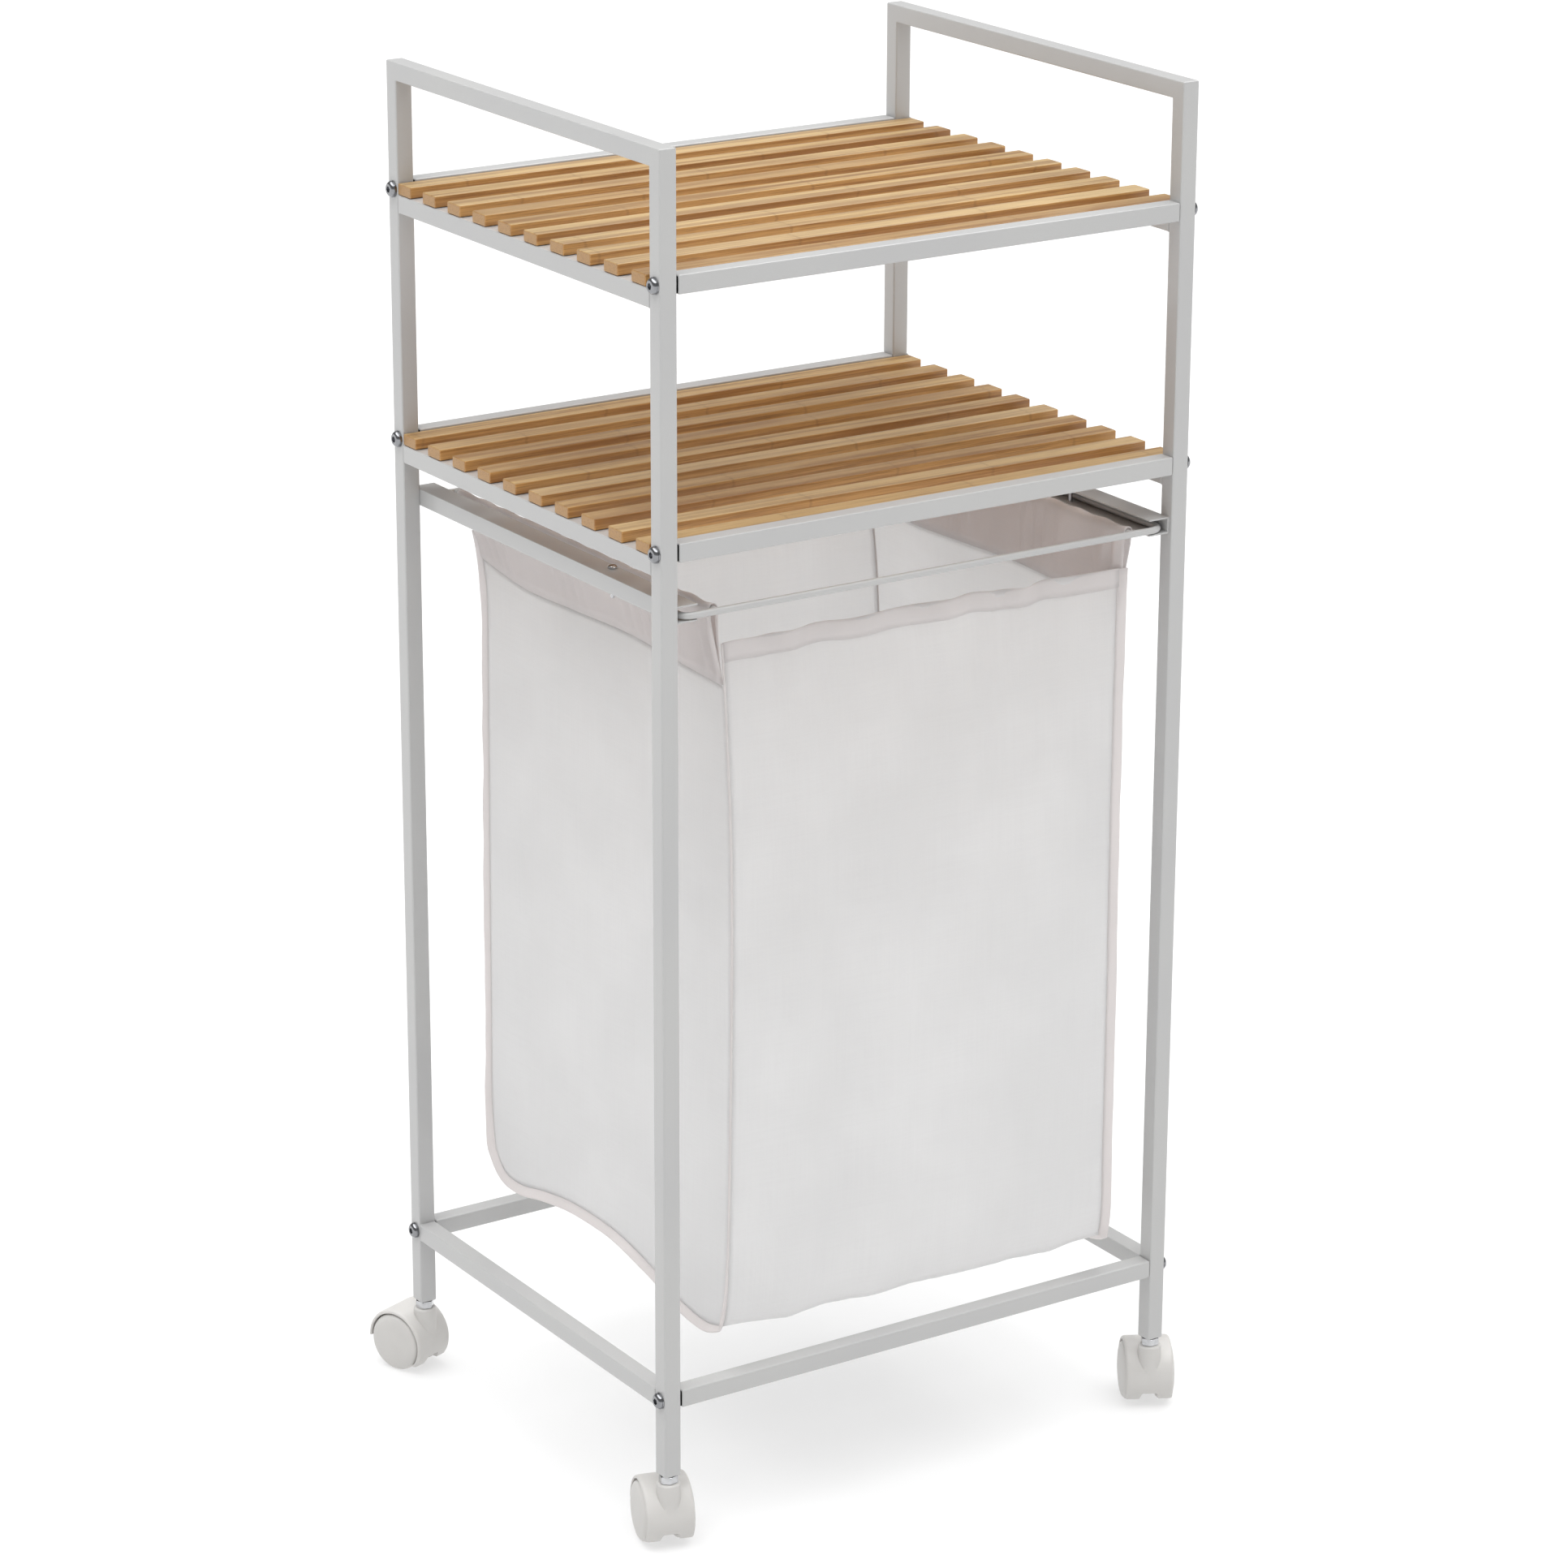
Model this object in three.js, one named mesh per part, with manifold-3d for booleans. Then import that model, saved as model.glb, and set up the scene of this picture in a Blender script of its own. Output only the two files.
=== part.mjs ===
// A laundry trolley on four casters: two welded square-tube side frames, six bolted cross rails,
// two slatted bamboo shelves, and a cloth laundry bag that hangs from a sliding wire carriage.
// Millimetres. +X is the trolley's right, -Y its front (the side the bag pulls out of), +Z is up.
import * as THREE from 'three';
import { mergeVertices } from 'three/addons/utils/BufferGeometryUtils.js';
import Module from 'manifold-3d';

const wasm = await Module();
wasm.setup();

// Overall sizes, floor to handle and over the posts
const OVERALL_WIDTH = 430;
const OVERALL_DEPTH = 358;
const OVERALL_HEIGHT = 989;

// Frame
const TUBE = 13; // outside of every square tube
const TUBE_WALL = 1;
const HANDLE_DROP = 99; // handle top to the middle of the upper side rails
const SHELF_SPACING = 179; // between the two shelves
const BASE_RAIL_RISE = 57.5; // post end to the middle of the base rails
const RUNNER_DROP = 33.5; // lower shelf's side rail to the middle of the runner
const POST_PLUG = 12; // threaded plug in each post end
const RAIL_PLUG = 14; // threaded plug in each cross rail end
const RAIL_END_GAP = 0.5; // paint line between a cross rail and a post

// Shelves
const SLATS_PER_SHELF = 10;
const SLAT_WIDTH = 17.5;
const SLAT_THICKNESS = 8;
const SLAT_FRONT_GAP = { upper: 4.8, lower: 1.4 }; // first slat to the front cross rail
const SLAT_BACK_GAP = 0.8; // last slat to the back cross rail
const SLAT_EDGE = 0.8; // eased long edges
const SLAT_SEAT_GAP = 0.3;
const SHELF_LIP = 1.2; // cross rail top above the slats

// Bolts through the posts
const BOLT_RADIUS = 3;
const BOLT_HOLE_GAP = 0.3;
const BOLT_HEAD_RADIUS = 5.9;
const BOLT_HEAD_HEIGHT = 3.6;
const BOLT_FLANGE = 0.9;
const BOLT_REACH = 12; // how far the shank runs into the cross rail
const DOME_SHARE = 0.76; // a point on the head's dome, as shares of its radius and height
const DOME_RISE = 0.72;
const CROWN_SHARE = 0.5; // flat crown of the head, as a share of its radius
const HEX_SOCKET_RADIUS = 2.4;
const HEX_SOCKET_DEPTH = 2.1;

// Runners: C-channels welded between the posts, open towards the bag
const RUNNER_HEIGHT = 12;
const RUNNER_WIDTH = 17;
const RUNNER_WALL = 1.2;
const RUNNER_END_SETBACK = 3; // runner ends behind the post faces
const WELD_DEPTH = 0.5;

// Sliding wire carriage
const WIRE = 5; // wire diameter
const WIRE_LIFT = 0.3;
const WIRE_SIDE_GAP = 1.3; // side wire to the runner's web
const WIRE_FRONT_SETBACK = 1.5; // pull rod behind the front faces
const WIRE_BACK_GAP = 0.6; // back rod to the runner's end stop
const WIRE_CORNER = 9; // corner radius on the wire's centre line
const CORNER_STEPS = 4;
const HANGER_INSET = 27; // side wire to hanger wire

// Stop screws that end the pull
const STOP_SETBACK = 102.5; // behind the front faces
const STOP_RADIUS = 1.5;
const STOP_HOLE_GAP = 0.3;
const STOP_FROM_POST = 12;
const STOP_TAIL = 9;
const STOP_HEAD_RADIUS = 3.4;
const STOP_HEAD_HEIGHT = 2;
const STOP_POINT_SHARE = 0.6; // blunt tip, as a share of the screw's radius
const STOP_CROWN_SHARE = 0.6; // flat crown, as a share of the head's radius

// Bag
const CLOTH = 1.2;
const SLEEVE_GAP = 0.35; // cloth sleeve around its hanger wire
const BAG_FRONT_GAP = 1; // sleeve end to the pull rod
const SLEEVE_BACK_GAP = 6; // sleeve end to the back rod
const BAG_BACK_LEAN = 15; // bag's back panel ahead of the sleeve ends
const BAG_FLOOR_GAP = 24; // bag bottom above the base rails
const PANEL_DROP = 24.5; // wire to the top hem of the front and back panels
const FLARE_DROP = 85; // wire to where the back edge starts to lean out
const BAG_BACK_ROUND = 26;
const BAG_FRONT_ROUND = 8;

// Casters
const WHEEL_RADIUS = 22;
const CASTER_TRAIL = 16; // stem axis to wheel axle
const CASTER_HALF_WIDTH = 20;
const RIM_DRAW_IN = 2; // how much narrower the wheel is at its rim than at its hub
const WEB_HALF = 6; // middle wall of the hood
const WEB_SHORT = 4; // middle wall inside the wheels' rims
const WHEEL_SIDE_GAP = 0.5;
const WHEEL_HOOD_GAP = 0.9;
const HOOD_THICKNESS = 2.3;
const HOOD_EDGE = 1; // eased edges of the hood's band
const HOOD_TOP_GAP = 6; // post end to the top of the hood's boss
const HOOD_SKIRT_HEIGHT = 7; // floor to the skirt's lower edge
const NOTCH_HEIGHT = 12.6; // floor to the top of the notch between the wheels
const NOTCH_SIDE_GAP = 0.2; // notch beyond the faces of the middle wall
const BOSS_RADIUS = 8.4;
const BOSS_RISE = 2.8; // boss above the hood's round
const WHEEL_EDGE = 1.2; // eased inner edge of a wheel's tread
const WHEEL_SHOULDER = 2; // tread short of the wheel's full width
const SHOULDER_SHARE = 0.85; // where the domed cap starts, as a share of the wheel's radius
const AXLE_RADIUS = 3;
const AXLE_GAP = 0.3;
const AXLE_END = 3; // wheel cap thickness over the axle end
const STEM_RADIUS = 4;
const STEM_GAP = 0.3;
const STEM_SCREW = 22; // threaded length inside the post
const STEM_SOCKET = 19; // pin length inside the hood
const STEM_RING = 0.8; // retaining ring around the pin
const RING_LOW = 3; // pin's lower end to the ring
const RING_HEIGHT = 1.5;
const RING_PLAY = 0.6; // groove taller than the ring
const RING_SLOPE = 1;
const COLLAR_FLATS = 12; // hexagon across flats
const COLLAR_GAP = 0.3;

// Sides of the round shapes
const SMALL_SIDES = 12; // bolts, pins and holes
const WIRE_SIDES = 10;
const WHEEL_SIDES = 32;

// Which way each caster trails, in degrees from +X
const CASTER_ANGLES = { front_left: 73, front_right: 61, back_left: 110, back_right: 78 };

// Derived positions
const HOOD_INNER = WHEEL_RADIUS + WHEEL_HOOD_GAP;
const HOOD_OUTER = HOOD_INNER + HOOD_THICKNESS;
const BOSS_TOP = WHEEL_RADIUS + HOOD_OUTER + BOSS_RISE;
const POST_FOOT_HEIGHT = BOSS_TOP + HOOD_TOP_GAP; // floor to the bottom end of a post
const HALF_W = OVERALL_WIDTH / 2;
const HALF_D = OVERALL_DEPTH / 2;
const INNER_X = HALF_W - TUBE;
const INNER_Y = HALF_D - TUBE;
const POST_X = HALF_W - TUBE / 2;
const POST_Y = HALF_D - TUBE / 2;
const UPPER_SIDE_Z = OVERALL_HEIGHT - HANDLE_DROP;
const LOWER_SIDE_Z = UPPER_SIDE_Z - SHELF_SPACING;
const BASE_Z = POST_FOOT_HEIGHT + BASE_RAIL_RISE;
const RAIL_STEP = SLAT_SEAT_GAP + SLAT_THICKNESS + SHELF_LIP;
const RUNNER_Z = LOWER_SIDE_Z - RUNNER_DROP;
const WIRE_R = WIRE / 2;
const WIRE_Z = RUNNER_Z - RUNNER_HEIGHT / 2 + RUNNER_WALL + WIRE_LIFT + WIRE_R;
const WIRE_X = INNER_X - RUNNER_WALL - WIRE_SIDE_GAP - WIRE_R;
const WIRE_FRONT_Y = -HALF_D + WIRE_FRONT_SETBACK + WIRE_R;
const RUNNER_BACK_Y = HALF_D - RUNNER_END_SETBACK;
const WIRE_BACK_Y = RUNNER_BACK_Y - RUNNER_WALL - WIRE_BACK_GAP - WIRE_R;
const HANGER_X = WIRE_X - HANGER_INSET;
const CROSS_RAIL_Z = { upper: UPPER_SIDE_Z + RAIL_STEP, lower: LOWER_SIDE_Z + RAIL_STEP, base: BASE_Z };

const SIDES = { left: -1, right: 1 };
const ENDS = { front: -1, back: 1 };

// Finishes
function finish(color, roughness, metalness) {
  return new THREE.MeshStandardMaterial({ color, roughness, metalness });
}

const POWDER_COAT = finish(0xe9e9e7, 0.35, 0);
const BAMBOO = finish(0xd9b27c, 0.55, 0);
const BRIGHT_STEEL = finish(0xc9cacb, 0.22, 1);
const CLOTH_WHITE = finish(0xe8e4e2, 0.9, 0);
const CASTER_WHITE = finish(0xe6e5e1, 0.45, 0);

// A closed three.js geometry as a solid that can be joined and cut
function solid(geometry) {
  const bare = new THREE.BufferGeometry();
  bare.setAttribute('position', geometry.getAttribute('position').clone());
  if (geometry.index) bare.setIndex(geometry.index.clone());
  const merged = mergeVertices(bare, 1e-4);
  const vertProperties = new Float32Array(merged.getAttribute('position').array);
  const triVerts = new Uint32Array(merged.index.array);
  return new wasm.Manifold(new wasm.Mesh({ numProp: 3, vertProperties, triVerts }));
}

// The solid back as a flat-shaded three.js geometry
function geometryOf(body) {
  const mesh = body.getMesh();
  const geometry = new THREE.BufferGeometry();
  geometry.setAttribute('position', new THREE.BufferAttribute(mesh.vertProperties, 3));
  geometry.setIndex(new THREE.BufferAttribute(mesh.triVerts, 1));
  geometry.computeVertexNormals();
  return geometry;
}

const joined = (first, ...rest) => rest.reduce((sum, piece) => sum.add(piece), first);
const cut = (body, ...holes) => holes.reduce((rest, hole) => rest.subtract(hole), body);

// A box between two corners
function block([x0, y0, z0], [x1, y1, z1]) {
  const box = new THREE.BoxGeometry(x1 - x0, y1 - y0, z1 - z0);
  return solid(box.translate((x0 + x1) / 2, (y0 + y1) / 2, (z0 + z1) / 2));
}

// A round bar of the given radius between two points
function bar(radius, from, to, sides = SMALL_SIDES) {
  const start = new THREE.Vector3(...from);
  const end = new THREE.Vector3(...to);
  const along = end.clone().sub(start);
  const rod = new THREE.CylinderGeometry(radius, radius, along.length(), sides);
  const upright = new THREE.Vector3(0, 1, 0);
  rod.applyQuaternion(new THREE.Quaternion().setFromUnitVectors(upright, along.clone().normalize()));
  const middle = start.add(end).multiplyScalar(0.5);
  return solid(rod.translate(middle.x, middle.y, middle.z));
}

// A profile of [radius, height] pairs turned about +Z
function turned(profile, sides = SMALL_SIDES) {
  const points = profile.map(([radius, height]) => new THREE.Vector2(radius, height));
  const lathe = new THREE.LatheGeometry(points, sides);
  return lathe.rotateX(Math.PI / 2);
}

// A Y-Z outline drawn out along X from x0 to x1
function drawnAlongX(outline, x0, x1) {
  const shape = new THREE.Shape(outline.map(([y, z]) => new THREE.Vector2(y, z)));
  const slab = new THREE.ExtrudeGeometry(shape, { depth: x1 - x0, bevelEnabled: false });
  slab.rotateX(Math.PI / 2).rotateZ(Math.PI / 2);
  return slab.translate(x0, 0, 0);
}

const trolley = new THREE.Group();

function place(name, geometry, material, parent = trolley) {
  const mesh = new THREE.Mesh(geometry, material);
  mesh.name = name;
  parent.add(mesh);
  return mesh;
}

// Tools that drill one post: three bolt holes through it and the stem's hole up its foot
function postHoles(x, y) {
  const reach = TUBE / 2 + 1;
  const foot = POST_FOOT_HEIGHT;
  const bolts = Object.values(CROSS_RAIL_Z).map((z) =>
    bar(BOLT_RADIUS + BOLT_HOLE_GAP, [x - reach, y, z], [x + reach, y, z]));
  const stem = bar(STEM_RADIUS + STEM_GAP, [x, y, foot - 1], [x, y, foot + POST_PLUG + 1]);
  return [...bolts, stem];
}

// One side frame: two posts, the handle, three side rails and the runner, welded into one piece
function sideFrame(side) {
  const x0 = Math.min(side * HALF_W, side * INNER_X);
  const x1 = x0 + TUBE;
  const v0 = x0 + TUBE_WALL;
  const v1 = x1 - TUBE_WALL;
  const bore = TUBE / 2 - TUBE_WALL;
  const railZ = [UPPER_SIDE_Z, LOWER_SIDE_Z, BASE_Z];
  const foot = POST_FOOT_HEIGHT;
  const top = OVERALL_HEIGHT;
  const posts = Object.values(ENDS).map((end) => {
    const y0 = end < 0 ? -HALF_D : INNER_Y;
    return block([x0, y0, foot], [x1, y0 + TUBE, top]);
  });
  const postVoids = Object.values(ENDS).map((end) => {
    const y0 = end < 0 ? -HALF_D : INNER_Y;
    const low = [v0, y0 + TUBE_WALL, foot + POST_PLUG];
    return block(low, [v1, y0 + TUBE - TUBE_WALL, top - TUBE_WALL]);
  });
  const handle = block([x0, -HALF_D, top - TUBE], [x1, HALF_D, top]);
  const reach = HALF_D - TUBE_WALL;
  const handleVoid = block([v0, -reach, top - TUBE + TUBE_WALL], [v1, reach, top - TUBE_WALL]);
  const end = INNER_Y + WELD_DEPTH;
  const rails = railZ.map((z) => block([x0, -end, z - TUBE / 2], [x1, end, z + TUBE / 2]));
  const railVoids = railZ.map((z) => block([v0, -reach, z - bore], [v1, reach, z + bore]));
  const holes = Object.values(ENDS).flatMap((sign) => postHoles(side * POST_X, sign * POST_Y));
  const tubes = cut(joined(...posts, handle, ...rails), ...postVoids, handleVoid, ...railVoids, ...holes);
  return geometryOf(tubes.add(runner(side)));
}

// One runner: a C-channel with a closed back end, its flanges drilled for the stop screw
function runner(side) {
  const across = (inset) => side * (INNER_X - inset);
  const slab = (insetA, insetB, y0, y1, z0, z1) => {
    const xs = [across(insetA), across(insetB)].sort((a, b) => a - b);
    return block([xs[0], y0, z0], [xs[1], y1, z1]);
  };
  const low = RUNNER_Z - RUNNER_HEIGHT / 2;
  const high = RUNNER_Z + RUNNER_HEIGHT / 2;
  const front = -HALF_D + RUNNER_END_SETBACK;
  const outside = slab(-WELD_DEPTH, RUNNER_WIDTH, front, RUNNER_BACK_Y, low, high);
  const wall = RUNNER_WALL;
  const groove = slab(wall, RUNNER_WIDTH + 1, front - 1, RUNNER_BACK_Y - wall, low + wall, high - wall);
  const x = across(STOP_FROM_POST);
  const y = -HALF_D + STOP_SETBACK;
  const drill = bar(STOP_RADIUS + STOP_HOLE_GAP, [x, y, low - 1], [x, y, high + 1]);
  return cut(outside, groove, drill);
}

// One cross rail: a tube with a threaded plug in each end, between the posts
function crossRail() {
  const end = INNER_X - RAIL_END_GAP;
  const half = TUBE / 2;
  const bore = half - TUBE_WALL;
  const tube = block([-end, -half, -half], [end, half, half]);
  const hollow = block([-end + RAIL_PLUG, -bore, -bore], [end - RAIL_PLUG, bore, bore]);
  const threads = Object.values(SIDES).map((side) =>
    bar(BOLT_RADIUS + BOLT_HOLE_GAP, [side * (end + 1), 0, 0], [side * (end - RAIL_PLUG - 1), 0, 0]));
  return geometryOf(cut(tube, hollow, ...threads));
}

// One slat with eased long edges
function slat() {
  const y = SLAT_WIDTH / 2;
  const z = SLAT_THICKNESS / 2;
  const e = SLAT_EDGE;
  const outline = [
    [-y + e, -z], [y - e, -z], [y, -z + e], [y, z - e], [y - e, z], [-y + e, z], [-y, z - e], [-y, -z + e],
  ];
  return drawnAlongX(outline, -HALF_W, HALF_W);
}

// A button-head bolt along +Z, its head's underside at z = 0 and its shank below
function bolt() {
  const length = TUBE + RAIL_END_GAP + BOLT_REACH;
  const r = BOLT_HEAD_RADIUS;
  const rise = BOLT_HEAD_HEIGHT;
  const profile = [
    [0, -length], [BOLT_RADIUS, -length], [BOLT_RADIUS, 0], [r, 0], [r, BOLT_FLANGE],
    [r * DOME_SHARE, rise * DOME_RISE], [r * CROWN_SHARE, rise], [0, rise],
  ];
  const socket = new THREE.CylinderGeometry(HEX_SOCKET_RADIUS, HEX_SOCKET_RADIUS, 2 * HEX_SOCKET_DEPTH, 6);
  const hexagon = solid(socket.rotateX(Math.PI / 2).translate(0, 0, rise));
  return geometryOf(cut(solid(turned(profile)), hexagon));
}

// A stop screw along +Z, its head's underside at z = 0
function stopScrew() {
  const length = RUNNER_HEIGHT + STOP_TAIL;
  const r = STOP_RADIUS;
  const head = STOP_HEAD_RADIUS;
  const top = STOP_HEAD_HEIGHT;
  return turned([
    [0, -length], [r * STOP_POINT_SHARE, -length], [r, -length + r / 2], [r, 0], [head, 0], [head, top / 2],
    [head * STOP_CROWN_SHARE, top], [0, top],
  ]);
}

// A closed path through given points, sampled only at those points
class BentWire extends THREE.Curve {
  constructor(points) {
    super();
    this.points = points;
  }

  getPoint(t, target = new THREE.Vector3()) {
    const count = this.points.length;
    const at = (t * count) % count;
    const index = Math.floor(at);
    return target.lerpVectors(this.points[index], this.points[(index + 1) % count], at - index);
  }

  getPointAt(u, target) {
    return this.getPoint(u, target);
  }

  getTangentAt(u, target = new THREE.Vector3()) {
    const count = this.points.length;
    const index = Math.round(u * count) % count;
    const before = this.points[(index + count - 1) % count];
    const here = this.points[index];
    const after = this.points[(index + 1) % count];
    const arriving = here.clone().sub(before).normalize();
    const leaving = after.clone().sub(here).normalize();
    return target.addVectors(arriving, leaving).normalize();
  }
}

// The carriage: a rounded wire loop with two hanger wires welded across it, front to back
function wireCarriage() {
  const r = WIRE_CORNER;
  const points = [];
  const corners = [
    [WIRE_X - r, WIRE_FRONT_Y + r, -90], [WIRE_X - r, WIRE_BACK_Y - r, 0],
    [-WIRE_X + r, WIRE_BACK_Y - r, 90], [-WIRE_X + r, WIRE_FRONT_Y + r, 180],
  ];
  for (const [x, y, start] of corners) {
    for (let i = 0; i <= CORNER_STEPS; i += 1) {
      const a = THREE.MathUtils.degToRad(start + (90 * i) / CORNER_STEPS);
      points.push(new THREE.Vector3(x + r * Math.cos(a), y + r * Math.sin(a), WIRE_Z));
    }
  }
  const loop = solid(new THREE.TubeGeometry(new BentWire(points), points.length, WIRE_R, WIRE_SIDES, true));
  const hangers = Object.values(SIDES).map((side) => {
    const x = side * HANGER_X;
    return bar(WIRE_R, [x, WIRE_FRONT_Y, WIRE_Z], [x, WIRE_BACK_Y, WIRE_Z], WIRE_SIDES);
  });
  return geometryOf(joined(loop, ...hangers));
}

// Points on an arc in the Y-Z plane, angles in degrees from +Y
function arc(y, z, radius, from, to, steps) {
  return Array.from({ length: steps + 1 }, (_, i) => {
    const a = THREE.MathUtils.degToRad(from + ((to - from) * i) / steps);
    return [y + radius * Math.cos(a), z + radius * Math.sin(a)];
  });
}

// The bag: an open-topped cloth box whose side panels rise higher and end in sleeves around the hangers
function bag() {
  const front = WIRE_FRONT_Y + WIRE_R + BAG_FRONT_GAP;
  const sleeveBack = WIRE_BACK_Y - WIRE_R - SLEEVE_BACK_GAP;
  const back = sleeveBack - BAG_BACK_LEAN;
  const bottom = BASE_Z + TUBE / 2 + BAG_FLOOR_GAP;
  const sleeveInner = WIRE_R + SLEEVE_GAP;
  const sleeveOuter = sleeveInner + CLOTH;
  const halfOut = HANGER_X - sleeveInner;
  const halfIn = halfOut - CLOTH;
  const outline = (inset, top) => [
    [front + inset, top],
    ...arc(front + BAG_FRONT_ROUND, bottom + BAG_FRONT_ROUND, BAG_FRONT_ROUND - inset, 180, 270, 3),
    ...arc(back - BAG_BACK_ROUND, bottom + BAG_BACK_ROUND, BAG_BACK_ROUND - inset, 270, 360, 5),
    [back - inset, WIRE_Z - FLARE_DROP],
    [sleeveBack - inset, WIRE_Z - 1],
    [sleeveBack - inset, top],
  ];
  const outside = solid(drawnAlongX(outline(0, WIRE_Z), -halfOut, halfOut));
  const inside = solid(drawnAlongX(outline(CLOTH, WIRE_Z + 1), -halfIn, halfIn));
  const mouth = block([-halfIn, front - 1, WIRE_Z - PANEL_DROP], [halfIn, sleeveBack + 1, WIRE_Z + 1]);
  const along = (radius, side, spare) => {
    const x = side * HANGER_X;
    return bar(radius, [x, front - spare, WIRE_Z], [x, sleeveBack + spare, WIRE_Z]);
  };
  const sleeves = Object.values(SIDES).map((side) => along(sleeveOuter, side, 0));
  const passages = Object.values(SIDES).map((side) => along(sleeveInner, side, 1));
  return geometryOf(cut(joined(cut(outside, inside, mouth), ...sleeves), ...passages));
}

// A pin from z = low to z = high with a ring around it; made larger, it is the socket for that pin
function ringedPin(r, low, ringLow, ringHeight, high) {
  const ring = r + STEM_RING;
  const ringHigh = ringLow + ringHeight;
  return solid(turned([
    [0, low], [r, low], [r, ringLow - RING_SLOPE], [ring, ringLow], [ring, ringHigh],
    [r, ringHigh + RING_SLOPE], [r, high], [0, high],
  ]));
}

// A caster stem: a screw into the post, a hexagon collar, and a ringed pin that the hood turns on.
// z = 0 is the floor.
function casterStem() {
  const low = BOSS_TOP - STEM_SOCKET;
  const pin = ringedPin(STEM_RADIUS, low, low + RING_LOW, RING_HEIGHT, POST_FOOT_HEIGHT + STEM_SCREW);
  const corner = COLLAR_FLATS / 2 / Math.cos(Math.PI / 6);
  const height = HOOD_TOP_GAP - 2 * COLLAR_GAP;
  const nut = new THREE.CylinderGeometry(corner, corner, height, 6).rotateX(Math.PI / 2);
  return geometryOf(pin.add(solid(nut.translate(0, 0, POST_FOOT_HEIGHT - HOOD_TOP_GAP / 2))));
}

// Half-width of the caster at a given distance from the axle: full at the hub, less at the rim
function casterHalfWidth(radius) {
  return CASTER_HALF_WIDTH - RIM_DRAW_IN * (radius / WHEEL_RADIUS) ** 3;
}

// Turns a solid made about +Z so that its axis lies along X at the axle
function atAxle(geometry) {
  return geometry.rotateY(Math.PI / 2).translate(0, CASTER_TRAIL, WHEEL_RADIUS);
}

// The hood, in the caster's own frame: stem axis at x = y = 0, trailing towards +Y, floor at z = 0
function casterHood() {
  const inner = HOOD_INNER;
  const outer = HOOD_OUTER;
  const w = casterHalfWidth;
  const edge = w(outer) - HOOD_EDGE;
  const shell = solid(atAxle(turned([
    [0, -w(0)], [inner, -w(inner)], [outer, -edge], [outer, edge], [inner, w(inner)], [0, w(0)],
  ], WHEEL_SIDES)));
  const boss = bar(BOSS_RADIUS, [0, 0, WHEEL_RADIUS], [0, 0, BOSS_TOP], 2 * SMALL_SIDES);
  const atHub = (x) => [x, CASTER_TRAIL, WHEEL_RADIUS];
  const wells = Object.values(SIDES).map((side) =>
    bar(inner, atHub(side * WEB_HALF), atHub(side * (CASTER_HALF_WIDTH + 2)), WHEEL_SIDES));
  const far = 2 * outer;
  const underside = block([-far, -far, -far], [far, far, HOOD_SKIRT_HEIGHT]);
  const behind = block([-far, CASTER_TRAIL, -far], [far, far, WHEEL_RADIUS]);
  const webBack = bar(WHEEL_RADIUS - WEB_SHORT, atHub(-WEB_HALF), atHub(WEB_HALF), WHEEL_SIDES);
  const notchHalf = WEB_HALF + NOTCH_SIDE_GAP;
  const notch = block([-notchHalf, -far, -far], [notchHalf, far, NOTCH_HEIGHT]);
  const axleReach = w(0) - AXLE_END - AXLE_GAP;
  const axle = bar(AXLE_RADIUS, atHub(-axleReach), atHub(axleReach));
  const low = BOSS_TOP - STEM_SOCKET;
  const ringRoom = RING_HEIGHT + RING_PLAY;
  const ringLow = low + RING_LOW - STEM_GAP;
  const socket = ringedPin(STEM_RADIUS + STEM_GAP, low - STEM_GAP, ringLow, ringRoom, BOSS_TOP + 1);
  const body = cut(joined(shell, boss), ...wells, behind);
  return geometryOf(cut(joined(body, webBack, axle), underside, notch, socket));
}

// A wheel with a domed outer cap, in the caster's frame; side is -1 or 1 along the axle
function casterWheel(side) {
  const inside = WEB_HALF + WHEEL_SIDE_GAP;
  const bore = AXLE_RADIUS + AXLE_GAP;
  const r = WHEEL_RADIUS;
  const w = casterHalfWidth;
  const shoulder = r * SHOULDER_SHARE;
  const lathe = turned([
    [bore, inside], [r - WHEEL_EDGE, inside], [r, inside + WHEEL_EDGE], [r, w(r) - WHEEL_SHOULDER],
    [shoulder, w(shoulder)], [0, w(0)], [0, w(0) - AXLE_END], [bore, w(0) - AXLE_END], [bore, inside],
  ], WHEEL_SIDES);
  if (side < 0) lathe.rotateY(Math.PI);
  return atAxle(lathe);
}

// Side frames and cross rails
for (const [sideName, side] of Object.entries(SIDES)) {
  place(`side_frame_${sideName}`, sideFrame(side), POWDER_COAT);
}
for (const [endName, end] of Object.entries(ENDS)) {
  for (const [level, z] of Object.entries(CROSS_RAIL_Z)) {
    place(`rail_${endName}_${level}`, crossRail(), POWDER_COAT).position.set(0, end * POST_Y, z);
  }
}

// Shelf slats, evenly spaced between the cross rails
for (const [level, seat] of Object.entries({ upper: UPPER_SIDE_Z, lower: LOWER_SIDE_Z })) {
  const z = seat + TUBE / 2 + SLAT_SEAT_GAP + SLAT_THICKNESS / 2;
  const first = -INNER_Y + SLAT_FRONT_GAP[level] + SLAT_WIDTH / 2;
  const last = INNER_Y - SLAT_BACK_GAP - SLAT_WIDTH / 2;
  const pitch = (last - first) / (SLATS_PER_SHELF - 1);
  for (let i = 0; i < SLATS_PER_SHELF; i += 1) {
    const number = String(i + 1).padStart(2, '0');
    place(`slat_${level}_${number}`, slat(), BAMBOO).position.set(0, first + i * pitch, z);
  }
}

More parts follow.
